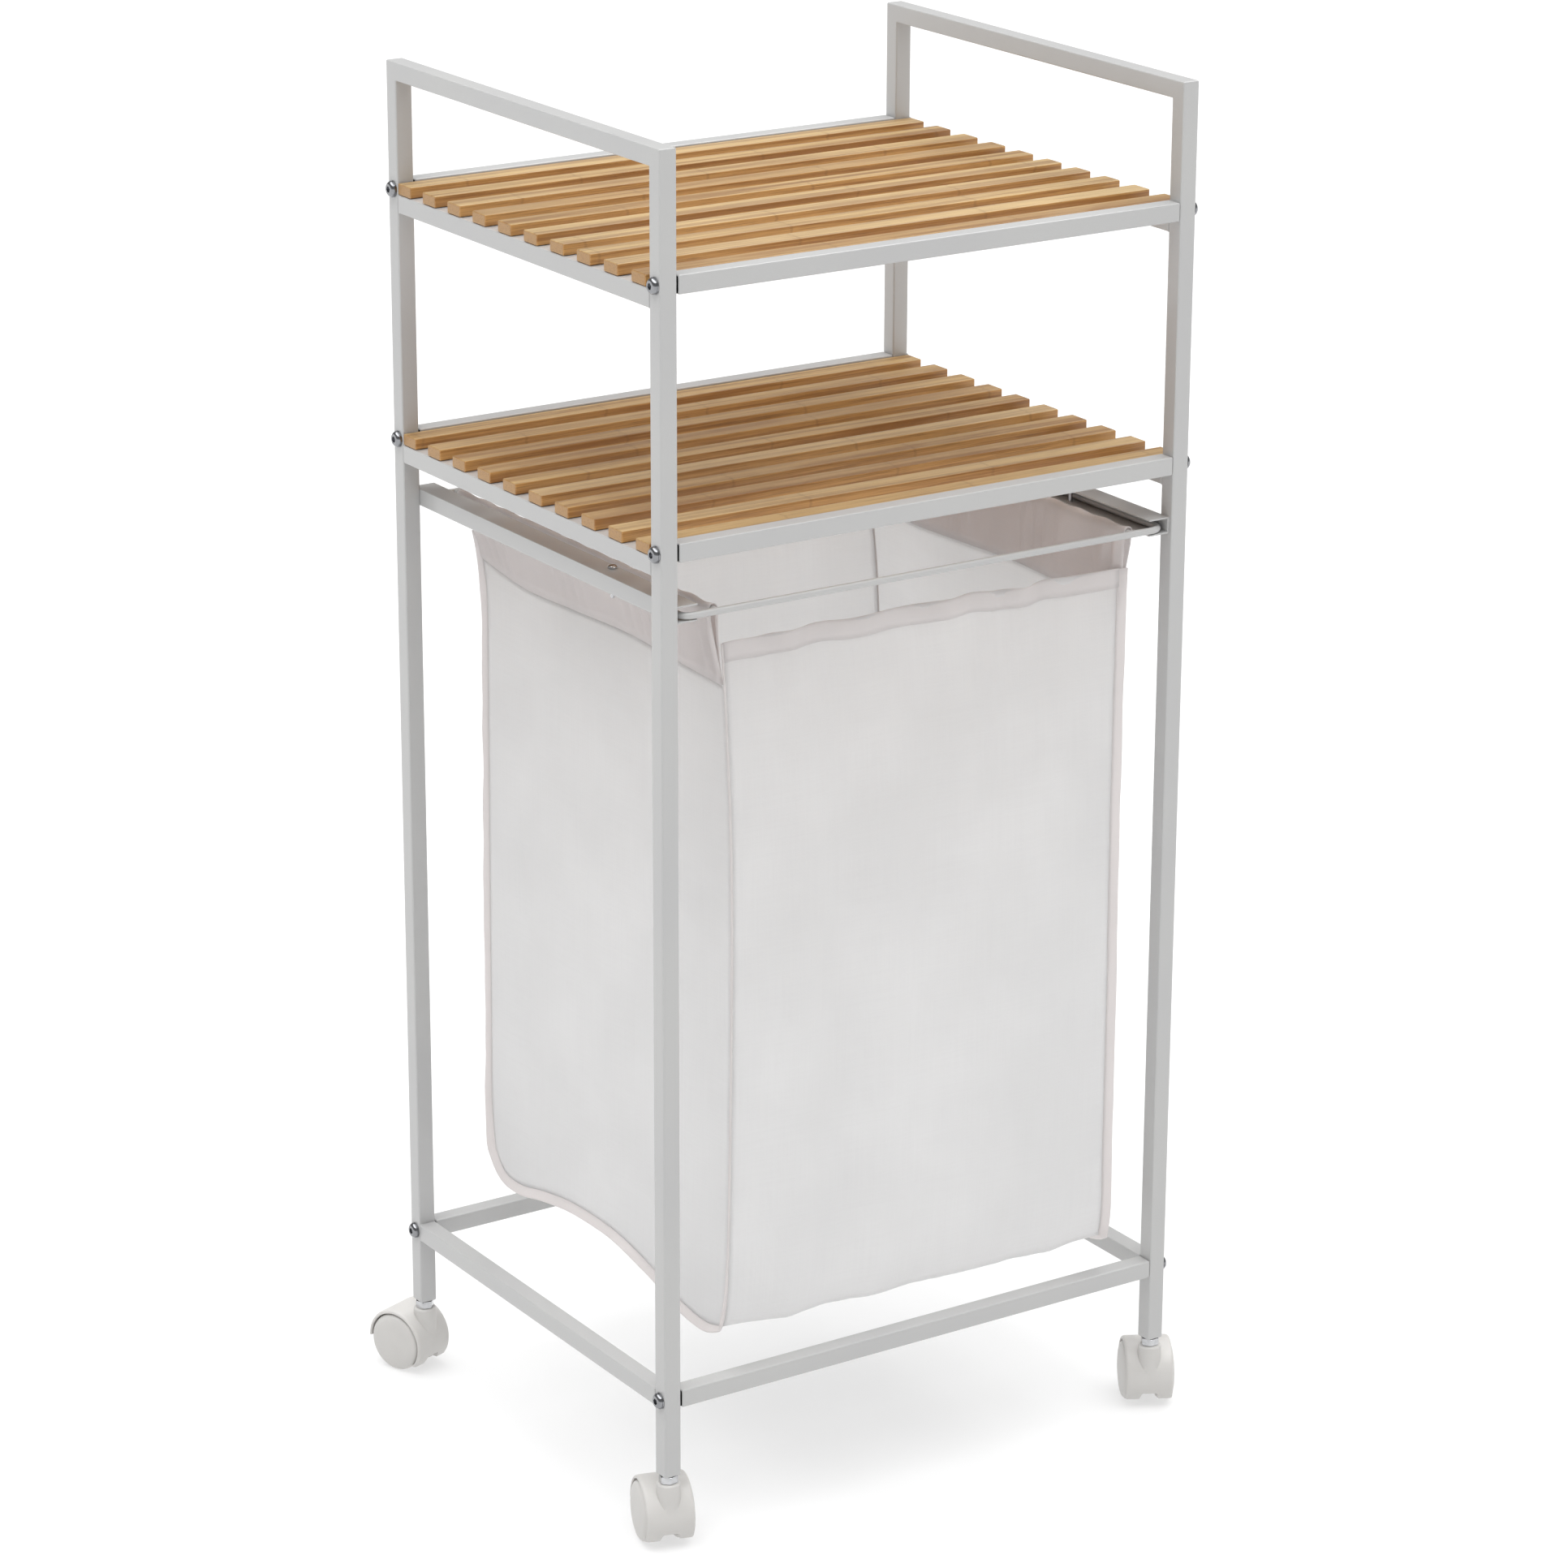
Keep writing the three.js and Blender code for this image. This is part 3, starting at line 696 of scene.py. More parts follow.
@dataclass(frozen=True)
class Bamboo(Finish):
    """Lacquered bamboo with long fibres, a few knuckles across them and dotted end grain; the slat tops get
    paler, less saturated colours than the edges as a painted sheen.
    """

    centre: Vector
    tops: tuple[float, float] = (0.7258, 0.9048)
    half_length: float = 0.215
    pitch: float = 0.0345
    knuckle_step: float = 0.150
    # pale and deep colour the slat tops and hold a painted sheen: they are paler and less saturated than the
    # edge colours below.
    pale: Triple = (194, 162, 108)
    deep: Triple = (146, 106, 56)
    pale_edge: Triple = (198, 148, 84)
    deep_edge: Triple = (160, 108, 50)
    fibre: Triple = (104, 68, 32)
    name: str = "lacquered bamboo"

    def own_place(self, tree: Tree) -> tuple[Socket, Socket, Socket, Socket]:
        """Coordinates that differ from slat to slat.

        Args:
            tree: The material's tree.

        Returns:
            The place from the trolley's middle, the place shifted per slat, X, and the slat's own number.
        """
        place = tree.mapped(tree.place(), (1.0, 1.0, 1.0), tuple(-self.centre))
        x, y, z = tree.node("ShaderNodeSeparateXYZ", {0: place}).outputs
        board = tree.maths("FLOOR", tree.maths("DIVIDE", tree.maths("ADD", y, 0.174), self.pitch))
        shelf = tree.maths("MULTIPLY", tree.maths("GREATER_THAN", z, 0.8), 37.0)
        number = tree.maths("ADD", board, shelf)
        own = tree.node("ShaderNodeTexWhiteNoise", {"W": number}, noise_dimensions="1D").outputs["Value"]
        along = tree.maths("ADD", x, tree.maths("MULTIPLY", own, 7.0))
        shifted = tree.node("ShaderNodeCombineXYZ", {0: along, 1: y, 2: z}).outputs[0]
        return place, shifted, x, own

    def on_top(self, tree: Tree, place: Socket) -> Socket:
        """Share of the top face, painted paler than the edges as a painted sheen of the lacquer, 0 on the
        slat's edges and underside.
        """
        z = tree.node("ShaderNodeSeparateXYZ", {0: place}).outputs[2]
        above = [tree.maths("GREATER_THAN", z, top - 0.0004) for top in self.tops]
        below = tree.maths("LESS_THAN", z, self.tops[0] + 0.001)
        return tree.maths("MAXIMUM", above[1], tree.maths("MULTIPLY", above[0], below))

    def knuckles(self, tree: Tree, shifted: Socket) -> Socket:
        """Thin lines across the slat where the cane's joints were."""
        x = tree.node("ShaderNodeSeparateXYZ", {0: shifted}).outputs[0]
        wander = tree.maths("MULTIPLY", tree.noise(tree.mapped(shifted, (1.0, 260.0, 260.0)), 1.0), 0.005)
        ring = tree.maths("PINGPONG", tree.maths("ADD", x, wander), self.knuckle_step)
        ring = tree.maths("ABSOLUTE", tree.maths("SUBTRACT", ring, self.knuckle_step / 2))
        return tree.maths("SUBTRACT", 1.0, tree.spread(ring, 0.0003, 0.0018))

    def build(self, tree: Tree) -> None:
        """Fills the material's node tree."""
        place, shifted, x, own = self.own_place(tree)
        fibre = tree.noise(tree.mapped(shifted, (9.0, 520.0, 520.0)), 1.0, 3.0, 0.6)
        hair = tree.noise(tree.mapped(shifted, (30.0, 2600.0, 2600.0)), 1.0, 2.0, 0.6)
        streak = tree.noise(tree.mapped(shifted, (2.4, 130.0, 130.0)), 1.0, 2.0, 0.5)
        blotch = tree.noise(tree.mapped(shifted, (16.0, 60.0, 60.0)), 1.0, 2.0, 0.5)
        tone = tree.maths("ADD", tree.maths("MULTIPLY", fibre, 0.45), tree.maths("MULTIPLY", streak, 0.55))
        share = tree.spread(tone, 0.40, 0.58)
        top = tree.blend(share, linear(*self.deep), linear(*self.pale))
        for source, low, high, amount, tint in (
            (own, 0.3, 1.0, 0.45, (146, 102, 52)), (own, 0.4, 0.0, 0.40, (208, 182, 138)),
            (blotch, 0.5, 0.7, 0.25, (196, 168, 122)),
        ):
            part = tree.maths("MULTIPLY", tree.spread(source, low, high), amount)
            top = tree.blend(part, top, linear(*tint))
        edge = tree.blend(share, linear(*self.deep_edge), linear(*self.pale_edge))
        # Painted sheen: the top faces take the paler top colours, the edges the deeper ones.
        colour = tree.blend(self.on_top(tree, place), edge, top)
        dark = tree.maths("MULTIPLY", tree.spread(hair, 0.52, 0.68), 0.50)
        colour = tree.blend(dark, colour, linear(*self.fibre))
        knuckle = self.knuckles(tree, shifted)
        colour = tree.blend(tree.maths("MULTIPLY", knuckle, 0.22), colour, linear(*self.fibre))
        ends = tree.maths("GREATER_THAN", tree.maths("ABSOLUTE", x), self.half_length - 0.0002)
        dots = tree.node("ShaderNodeTexVoronoi", {"Vector": place, "Scale": 1000.0}).outputs["Distance"]
        pores = tree.maths("SUBTRACT", 1.0, tree.spread(dots, 0.15, 0.42))
        grain = tree.blend(tree.maths("MULTIPLY", pores, 0.5), linear(172, 130, 76), linear(96, 62, 30))
        colour = tree.blend(ends, colour, grain)
        height = tree.maths("SUBTRACT", fibre, tree.maths("MULTIPLY", knuckle, 0.5))
        bump = tree.node("ShaderNodeBump", {"Height": height, "Strength": 0.15, "Distance": 0.0003})
        rough = tree.spread(fibre, 0.3, 0.7, 0.40, 0.52)
        self.surface(tree, {
            "Base Color": colour, "Roughness": rough, "Normal": bump.outputs[0], "Coat Weight": 0.35,
            "Coat Roughness": 0.28,
        })


@dataclass(frozen=True)
class BagCloth(Finish):
    """Thin plain-weave polyester that lets light through."""

    name: str = "bag cloth"
    tone: Triple = (249, 249, 249)
    see_through: float = 0.13
    glow: float = 0.57

    def build(self, tree: Tree) -> None:
        """Fills the material's node tree."""
        cut = tree.cut()
        weave = tree.node("ShaderNodeGroup", node_tree=Effects.weave())
        tree.tree.links.new(cut, weave.inputs["Vector"])
        cloud = tree.noise(cut, 9.0, 3.0)
        dull = linear(*(v * 0.985 for v in self.tone))
        colour = tree.blend(tree.spread(cloud, 0.3, 0.7), dull, linear(*self.tone))
        slub = tree.maths("MULTIPLY", weave.outputs["Slub"], 0.35)
        colour = tree.blend(slub, colour, linear(238, 237, 238))
        holes = tree.maths("SUBTRACT", 1.0, weave.outputs["Thread"])
        open_share = tree.maths("MULTIPLY", tree.maths("ADD", 0.55, holes), self.see_through)
        alpha = tree.maths("SUBTRACT", 1.0, open_share, clamp=True)
        relief = {"Height": weave.outputs["Height"], "Strength": 0.25, "Distance": 0.00025}
        bump = tree.node("ShaderNodeBump", relief)
        shader = tree.node("ShaderNodeBsdfPrincipled", {
            "Base Color": colour, "Roughness": 0.78, "Sheen Weight": 0.25, "Sheen Roughness": 0.5,
            "Alpha": alpha, "Normal": bump.outputs[0],
        })
        through = tree.node("ShaderNodeBsdfTranslucent", {"Color": colour, "Normal": bump.outputs[0]})
        both = tree.node("ShaderNodeMixShader", {0: self.glow, 1: shader.outputs[0], 2: through.outputs[0]})
        out = tree.node("ShaderNodeOutputMaterial")
        tree.tree.links.new(both.outputs[0], out.inputs["Surface"])


def hand_over(obj: Object, layout: Layout, finish: Finish, slot: Slot, body: str, *nodes: str) -> Object:
    """Moves a finished piece into the shared frame, dresses it and hides the CAD parts that it stands for.

    Args:
        obj: The piece, in the trolley's own frame.
        layout: The trolley's layout.
        finish: What it is made of.
        slot: The record's slot for that finish; not used.
        body: The body that it moves with.
        *nodes: CAD nodes that it stands for.

    Returns:
        The piece.
    """
    obj.data.transform(Matrix.Translation(layout.centre))
    obj.data.materials.clear()
    obj.data.materials.append(finish.material())
    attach(obj, body)
    if nodes:
        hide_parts(*nodes)
    log.info("%s: %d faces on %s", obj.name, len(obj.data.polygons), body)
    return obj


# --------------------------------------------------------------------------------------------------
# Frame


@dataclass
class SideFrame:
    """A welded side frame: a bent-over hoop of square tube, three side rails and a runner."""

    layout: Layout
    side: Side
    edge: float = 0.0011
    bead: float = 0.0014
    runner_width: float = 0.017
    runner_height: float = 0.012
    runner_wall: float = 0.0012
    runner_setback: float = 0.003
    runner_drop: float = 0.0335

    def span(self) -> tuple[float, float]:
        """Inner and outer X of the tubes, the lower first."""
        faces = sorted((self.side.value * self.layout.width / 2, self.side.value * self.layout.inner_x))
        return faces[0], faces[1]

    def hoop(self) -> Object:
        """Both posts and the handle as one tube, drawn on from the foot of the front post."""
        lay = self.layout
        x0, x1 = self.span()
        front, inner = -lay.depth / 2, lay.inner_y
        top = lay.height - lay.tube
        obj = Bench.block("hoop", (x0, front, lay.post_foot), (x1, -inner, top))
        Bench.pick(obj, lambda c, n: n.z > 0.9)
        Bench.extrude((0, 0, lay.tube))
        Bench.pick(obj, lambda c, n: n.y > 0.9 and c.z > top)
        Bench.extrude((0, 2 * inner, 0))
        Bench.extrude((0, lay.tube, 0))
        Bench.pick(obj, lambda c, n: n.z < -0.9 and c.y > inner)
        Bench.extrude((0, 0, lay.post_foot - top))
        Bench.done()
        Bench.soften(obj, self.edge)
        return obj

    def rail(self, z: float) -> Object:
        """A side rail with a low weld bead at each end.

        Args:
            z: Its middle height.

        Returns:
            The rail.
        """
        lay = self.layout
        x0, x1 = self.span()
        half = lay.tube / 2
        reach = lay.inner_y - self.bead
        obj = Bench.block("rail", (x0, -reach, z - half), (x1, reach, z + half))
        for end in End:
            Bench.pick(obj, lambda c, n, e=end: n.y * e.value > 0.9)
            Bench.extrude((0, end.value * self.bead, 0))
            Bench.resize((1, 1, 1.09), ((x0 + x1) / 2, end.value * lay.inner_y, z))
        Bench.done()
        Bench.soften(obj, self.edge * 0.8)
        return obj

    def runner(self) -> Object:
        """The C-channel that the carriage slides in."""
        lay, sign = self.layout, self.side.value
        z = lay.lower_side - self.runner_drop
        low, high = z - self.runner_height / 2, z + self.runner_height / 2
        edge = lay.depth / 2 - self.runner_setback
        wall = self.runner_wall

        def across(a: float, b: float) -> list[float]:
            return sorted((sign * (lay.inner_x - a), sign * (lay.inner_x - b)))

        x = across(-0.0003, self.runner_width)
        obj = Bench.block("runner", (x[0], -edge, low), (x[1], edge, high))
        x = across(wall, self.runner_width + 0.001)
        groove = Bench.block("groove", (x[0], -edge - 0.001, low + wall), (x[1], edge - wall, high - wall))
        Bench.carve(obj, groove)
        Bench.soften(obj, 0.0004, 2)
        return obj

    def build(self) -> Object:
        """Makes the side frame.

        Returns:
            The finished piece.
        """
        lay = self.layout
        rails = [self.rail(z) for z in (lay.upper_side, lay.lower_side, lay.base)]
        obj = Bench.join(f"frame_{self.side.word}", [self.hoop(), *rails, self.runner()])
        return hand_over(obj, lay, PowderCoat(), Slot.COAT, FRAME_BODY, f"side_frame_{self.side.word}")


@dataclass
class CrossRails:
    """Six tubes bolted between the side frames, each with a threaded insert at its ends, near black as dark
    steel and as painted shade of the tube's hollow end.
    """

    layout: Layout
    left_gap: float = 0.0013
    right_gap: float = 0.0002
    edge: float = 0.0011
    insert_step: float = 0.0009
    insert_length: float = 0.010

    def insert(self, side: Side) -> Object:
        """The insert at one end, a little smaller than the tube and almost flush with its end; its near-black
        tone stands in as painted shade of the hollow.
        """
        lay = self.layout
        half = lay.tube / 2 - self.insert_step
        outer = lay.inner_x - 0.0001
        x = sorted((side.value * outer, side.value * (outer - self.insert_length)))
        obj = Bench.block("insert", (x[0], -half, -half), (x[1], half, half))
        Bench.soften(obj, 0.0008, 2)
        return obj

    def build(self) -> list[Object]:
        """Makes one rail with its inserts and copies it to its six places.

        Returns:
            The rails and inserts.
        """
        lay = self.layout
        half = lay.tube / 2
        low, high = -lay.inner_x + self.left_gap, lay.inner_x - self.right_gap
        rail = Bench.block("rail", (low, -half, -half), (high, half, half))
        Bench.soften(rail, self.edge)
        inserts = Bench.join("inserts", [self.insert(side) for side in Side])
        # Near black: partly the insert's own dark steel, partly painted shade of the recess in the tube's
        # end.
        dark = BrightSteel(name="blackened steel", tone=(16, 16, 17), rough=0.5)
        made = []
        for end in End:
            for level in Level:
                name = f"rail_{end.word}_{level.value}"
                place = Matrix.Translation((0, end.value * lay.post_y, lay.rail_z(level)))
                obj = Bench.copy(rail, f"cross_{name}", place)
                made.append(hand_over(obj, lay, PowderCoat(), Slot.COAT, FRAME_BODY, name))
                obj = Bench.copy(inserts, f"inserts_{name}", place)
                made.append(hand_over(obj, lay, dark, Slot.STEEL, FRAME_BODY))
        for used in (rail, inserts):
            bpy.data.objects.remove(used)
        return made


@dataclass
class Shelves:
    """Two shelves of bamboo slats lying across the side rails."""

    layout: Layout
    count: int = 10
    edge: float = 0.0009

    def build(self) -> list[Object]:
        """Makes one slat and copies it to its twenty places.

        Returns:
            The slats.
        """
        low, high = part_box("slat_upper_01")
        half = (high - low) / 2
        first = Bench.block("slat", -half, half)
        Bench.soften(first, self.edge, 3)
        tops = (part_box("slat_lower_01")[1].z, high.z)
        finish = Bamboo(self.layout.centre, tops, half.x)
        made = []
        for level in (Level.UPPER, Level.LOWER):
            for index in range(self.count):
                node = f"slat_{level.value}_{index + 1:02d}"
                low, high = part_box(node)
                middle = (low + high) / 2 - self.layout.centre
                obj = Bench.copy(first, f"bamboo_{node}", Matrix.Translation(middle))
                made.append(hand_over(obj, self.layout, finish, Slot.BAMBOO, FRAME_BODY, node))
        bpy.data.objects.remove(first)
        return made


@dataclass
class Fasteners:
    """Button-head bolts through the posts and the screws that stop the carriage."""

    layout: Layout
    radius: float = 0.0059
    flange: float = 0.0009
    rise: float = 0.0036
    hexagon: float = 0.0024
    socket: float = 0.0021
    shank: float = 0.003
    stop_setback: float = 0.1025
    stop_from_post: float = 0.012
    stop_radius: float = 0.0015
    stop_head: float = 0.0034
    head_gap: float = 0.0003
    runner_drop: float = 0.0335
    runner_half: float = 0.006

    def bolt(self) -> Object:
        """A bolt along +Z whose head stands on z = 0."""
        sides = 40
        obj = Bench.drum("bolt", self.radius, 0.0, self.flange, sides)
        steps = 7
        before, level = self.radius, self.flange
        Bench.pick(obj, lambda c, n: n.z > 0.9)
        Bench.extrude((0, 0, 0))
        Bench.resize((0.94, 0.94, 1), (0, 0, level))
        before *= 0.94
        for step in range(1, steps + 1):
            turn = math.radians(68) * step / steps
            reach = self.radius * 0.94 * (0.42 + 0.58 * math.cos(turn) / 1.0)
            height = self.flange + (self.rise - self.flange) * math.sin(turn) / math.sin(math.radians(68))
            Bench.extrude((0, 0, height - level))
            Bench.resize((reach / before, reach / before, 1), (0, 0, height))
            before, level = reach, height
        Bench.pick(obj, lambda c, n: n.z < -0.9)
        Bench.extrude((0, 0, 0))
        ratio = self.shank / self.radius
        Bench.resize((ratio, ratio, 1), (0, 0, 0))
        Bench.extrude((0, 0, -self.layout.tube))
        Bench.done()
        hexagon = Bench.drum("hexagon", self.hexagon, self.rise - self.socket, self.rise + 0.002, 6)
        Bench.carve(obj, hexagon)
        Bench.smooth(obj, 38)
        return obj

    def stop(self) -> Object:
        """A stop screw along +Z whose head stands on z = 0."""
        obj = Bench.drum("stop", self.stop_head, 0.0, 0.001, 28)
        Bench.pick(obj, lambda c, n: n.z > 0.9)
        Bench.extrude((0, 0, 0.0006))
        Bench.resize((0.86, 0.86, 1), (0, 0, 0.0016))
        Bench.extrude((0, 0, 0.0004))
        Bench.resize((0.72, 0.72, 1), (0, 0, 0.002))
        Bench.pick(obj, lambda c, n: n.z < -0.9)
        Bench.extrude((0, 0, 0))
        ratio = self.stop_radius / self.stop_head
        Bench.resize((ratio, ratio, 1), (0, 0, 0))
        Bench.extrude((0, 0, -0.0202))
        Bench.extrude((0, 0, -0.0008))
        Bench.resize((0.6, 0.6, 1), (0, 0, -0.021))
        Bench.done()
        slot = Bench.block("slot", (-0.004, -0.0004, 0.0012), (0.004, 0.0004, 0.003))
        Bench.carve(obj, slot)
        Bench.smooth(obj, 35)
        return obj

    def build(self) -> list[Object]:
        """Puts the bolts in the posts and the stop screws in the runners.

        Returns:
            The fasteners.
        """
        lay = self.layout
        bolt, stop = self.bolt(), self.stop()
        plated = BrightSteel(name="plated bolt", tone=(150, 151, 154), rough=0.11)
        made = []
        spin = 0
        for side in Side:
            for end in End:
                for level in Level:
                    node = f"bolt_{side.word}_{end.word}_{level.value}"
                    spin += 1
                    x, y = side.value * (lay.width / 2 + self.head_gap), end.value * lay.post_y
                    place = (
                        Matrix.Translation((x, y, lay.rail_z(level)))
                        @ Matrix.Rotation(side.value * math.pi / 2, 4, "Y")
                        @ Matrix.Rotation(math.radians(17 * spin), 4, "Z")
                    )
                    obj = Bench.copy(bolt, f"hex_{node}", place)
                    made.append(hand_over(obj, lay, plated, Slot.STEEL, FRAME_BODY, node))
            node = f"stop_screw_{side.word}"
            x = side.value * (lay.inner_x - self.stop_from_post)
            z = lay.lower_side - self.runner_drop + self.runner_half + self.head_gap
            place = Matrix.Translation((x, -lay.depth / 2 + self.stop_setback, z))
            obj = Bench.copy(stop, f"slotted_{node}", place)
            made.append(hand_over(obj, lay, BrightSteel(), Slot.STEEL, FRAME_BODY, node))
        for used in (bolt, stop):
            bpy.data.objects.remove(used)
        return made


# --------------------------------------------------------------------------------------------------
# Carriage


@dataclass
class WireCarriage:
    """The rounded wire loop with its two hanger wires."""

    layout: Layout
    corner: float = 0.009

    def tube(self, name: str, points: Sequence[Triple], closed: bool) -> Object:
        """Draws a wire along points.

        Args:
            name: Name of the piece.
            points: The wire's centre line.
            closed: Whether it joins up.

        Returns:
            The wire as a mesh.
        """
        curve = bpy.data.curves.new(name, "CURVE")
        curve.dimensions = "3D"
        spline = curve.splines.new("POLY")
        spline.points.add(len(points) - 1)
        for point, place in zip(spline.points, points):
            point.co = (*place, 1.0)
        spline.use_cyclic_u = closed
        curve.bevel_depth = self.layout.wire_radius
        curve.bevel_resolution = 6
        curve.use_fill_caps = not closed
        obj = bpy.data.objects.new(name, curve)
        bpy.context.scene.collection.objects.link(obj)
        Bench.only(obj)
        bpy.ops.object.convert(target="MESH")
        obj = bpy.context.active_object
        Bench.only(obj)
        bpy.ops.object.shade_smooth_by_angle(angle=math.radians(50))
        return obj

    def loop(self) -> Object:
        """The rounded loop that runs in the channels."""
        lay, r = self.layout, self.corner
        corners = [
            (lay.wire_x - r, lay.wire_front + r, -90), (lay.wire_x - r, lay.wire_back - r, 0),
            (-lay.wire_x + r, lay.wire_back - r, 90), (-lay.wire_x + r, lay.wire_front + r, 180),
        ]
        points = []
        for x, y, start in corners:
            for step in range(11):
                a = math.radians(start + 9 * step)
                points.append((x + r * math.cos(a), y + r * math.sin(a), lay.wire_z))
        return self.tube("loop", points, True)

    def build(self) -> Object:
        """Makes the carriage.

        Returns:
            The finished piece.
        """
        lay = self.layout
        hangers = []
        for side in Side:
            x = side.value * lay.hanger_x
            ends = [(x, lay.wire_front, lay.wire_z), (x, lay.wire_back, lay.wire_z)]
            hangers.append(self.tube("hanger", ends, False))
        obj = Bench.join("wire_loop", [self.loop(), *hangers])
        return hand_over(obj, lay, PowderCoat(), Slot.COAT, CARRIAGE_BODY, "wire_carriage")


# --------------------------------------------------------------------------------------------------
# Bag


def through(points: Sequence[Vector], count: int) -> list[Vector]:
    """A smooth line through points, evenly spaced along its length.

    Args:
        points: What it passes through.
        count: How many points to return.

    Returns:
        The points.
    """
    dense: list[Vector] = []
    last = len(points) - 1
    for i in range(last):
        p0, p1, p2, p3 = (points[max(i - 1, 0)], points[i], points[i + 1], points[min(i + 2, last)])
        t0 = 0.0
        t1 = t0 + max((p1 - p0).length, 1e-6) ** 0.5
        t2 = t1 + max((p2 - p1).length, 1e-6) ** 0.5
        t3 = t2 + max((p3 - p2).length, 1e-6) ** 0.5
        for k in range(16):
            t = t1 + (t2 - t1) * k / 16
            a1 = p0 * ((t1 - t) / (t1 - t0)) + p1 * ((t - t0) / (t1 - t0))
            a2 = p1 * ((t2 - t) / (t2 - t1)) + p2 * ((t - t1) / (t2 - t1))
            a3 = p2 * ((t3 - t) / (t3 - t2)) + p3 * ((t - t2) / (t3 - t2))
            b1 = a1 * ((t2 - t) / (t2 - t0)) + a2 * ((t - t0) / (t2 - t0))
            b2 = a2 * ((t3 - t) / (t3 - t1)) + a3 * ((t - t1) / (t3 - t1))
            dense.append(b1 * ((t2 - t) / (t2 - t1)) + b2 * ((t - t1) / (t2 - t1)))
    dense.append(points[-1].copy())
    along = [0.0]
    for a, b in zip(dense, dense[1:]):
        along.append(along[-1] + (b - a).length)
    made, i = [], 0
    for k in range(count):
        want = along[-1] * k / (count - 1)
        while i < len(dense) - 2 and along[i + 1] < want:
            i += 1
        step = along[i + 1] - along[i]
        made.append(dense[i].lerp(dense[i + 1], (want - along[i]) / step if step > 0 else 0.0))
    return made


def ease(value: float) -> float:
    """Smooth step from 0 to 1."""
    value = min(max(value, 0.0), 1.0)
    return value * value * (3 - 2 * value)


def ripple(point: Vector, scale: float, seed: float) -> float:
    """Smooth noise of about -1 to 1 at a point."""
    return noise.noise(Vector((point.x * scale + seed, point.y * scale - seed, point.z * scale)))


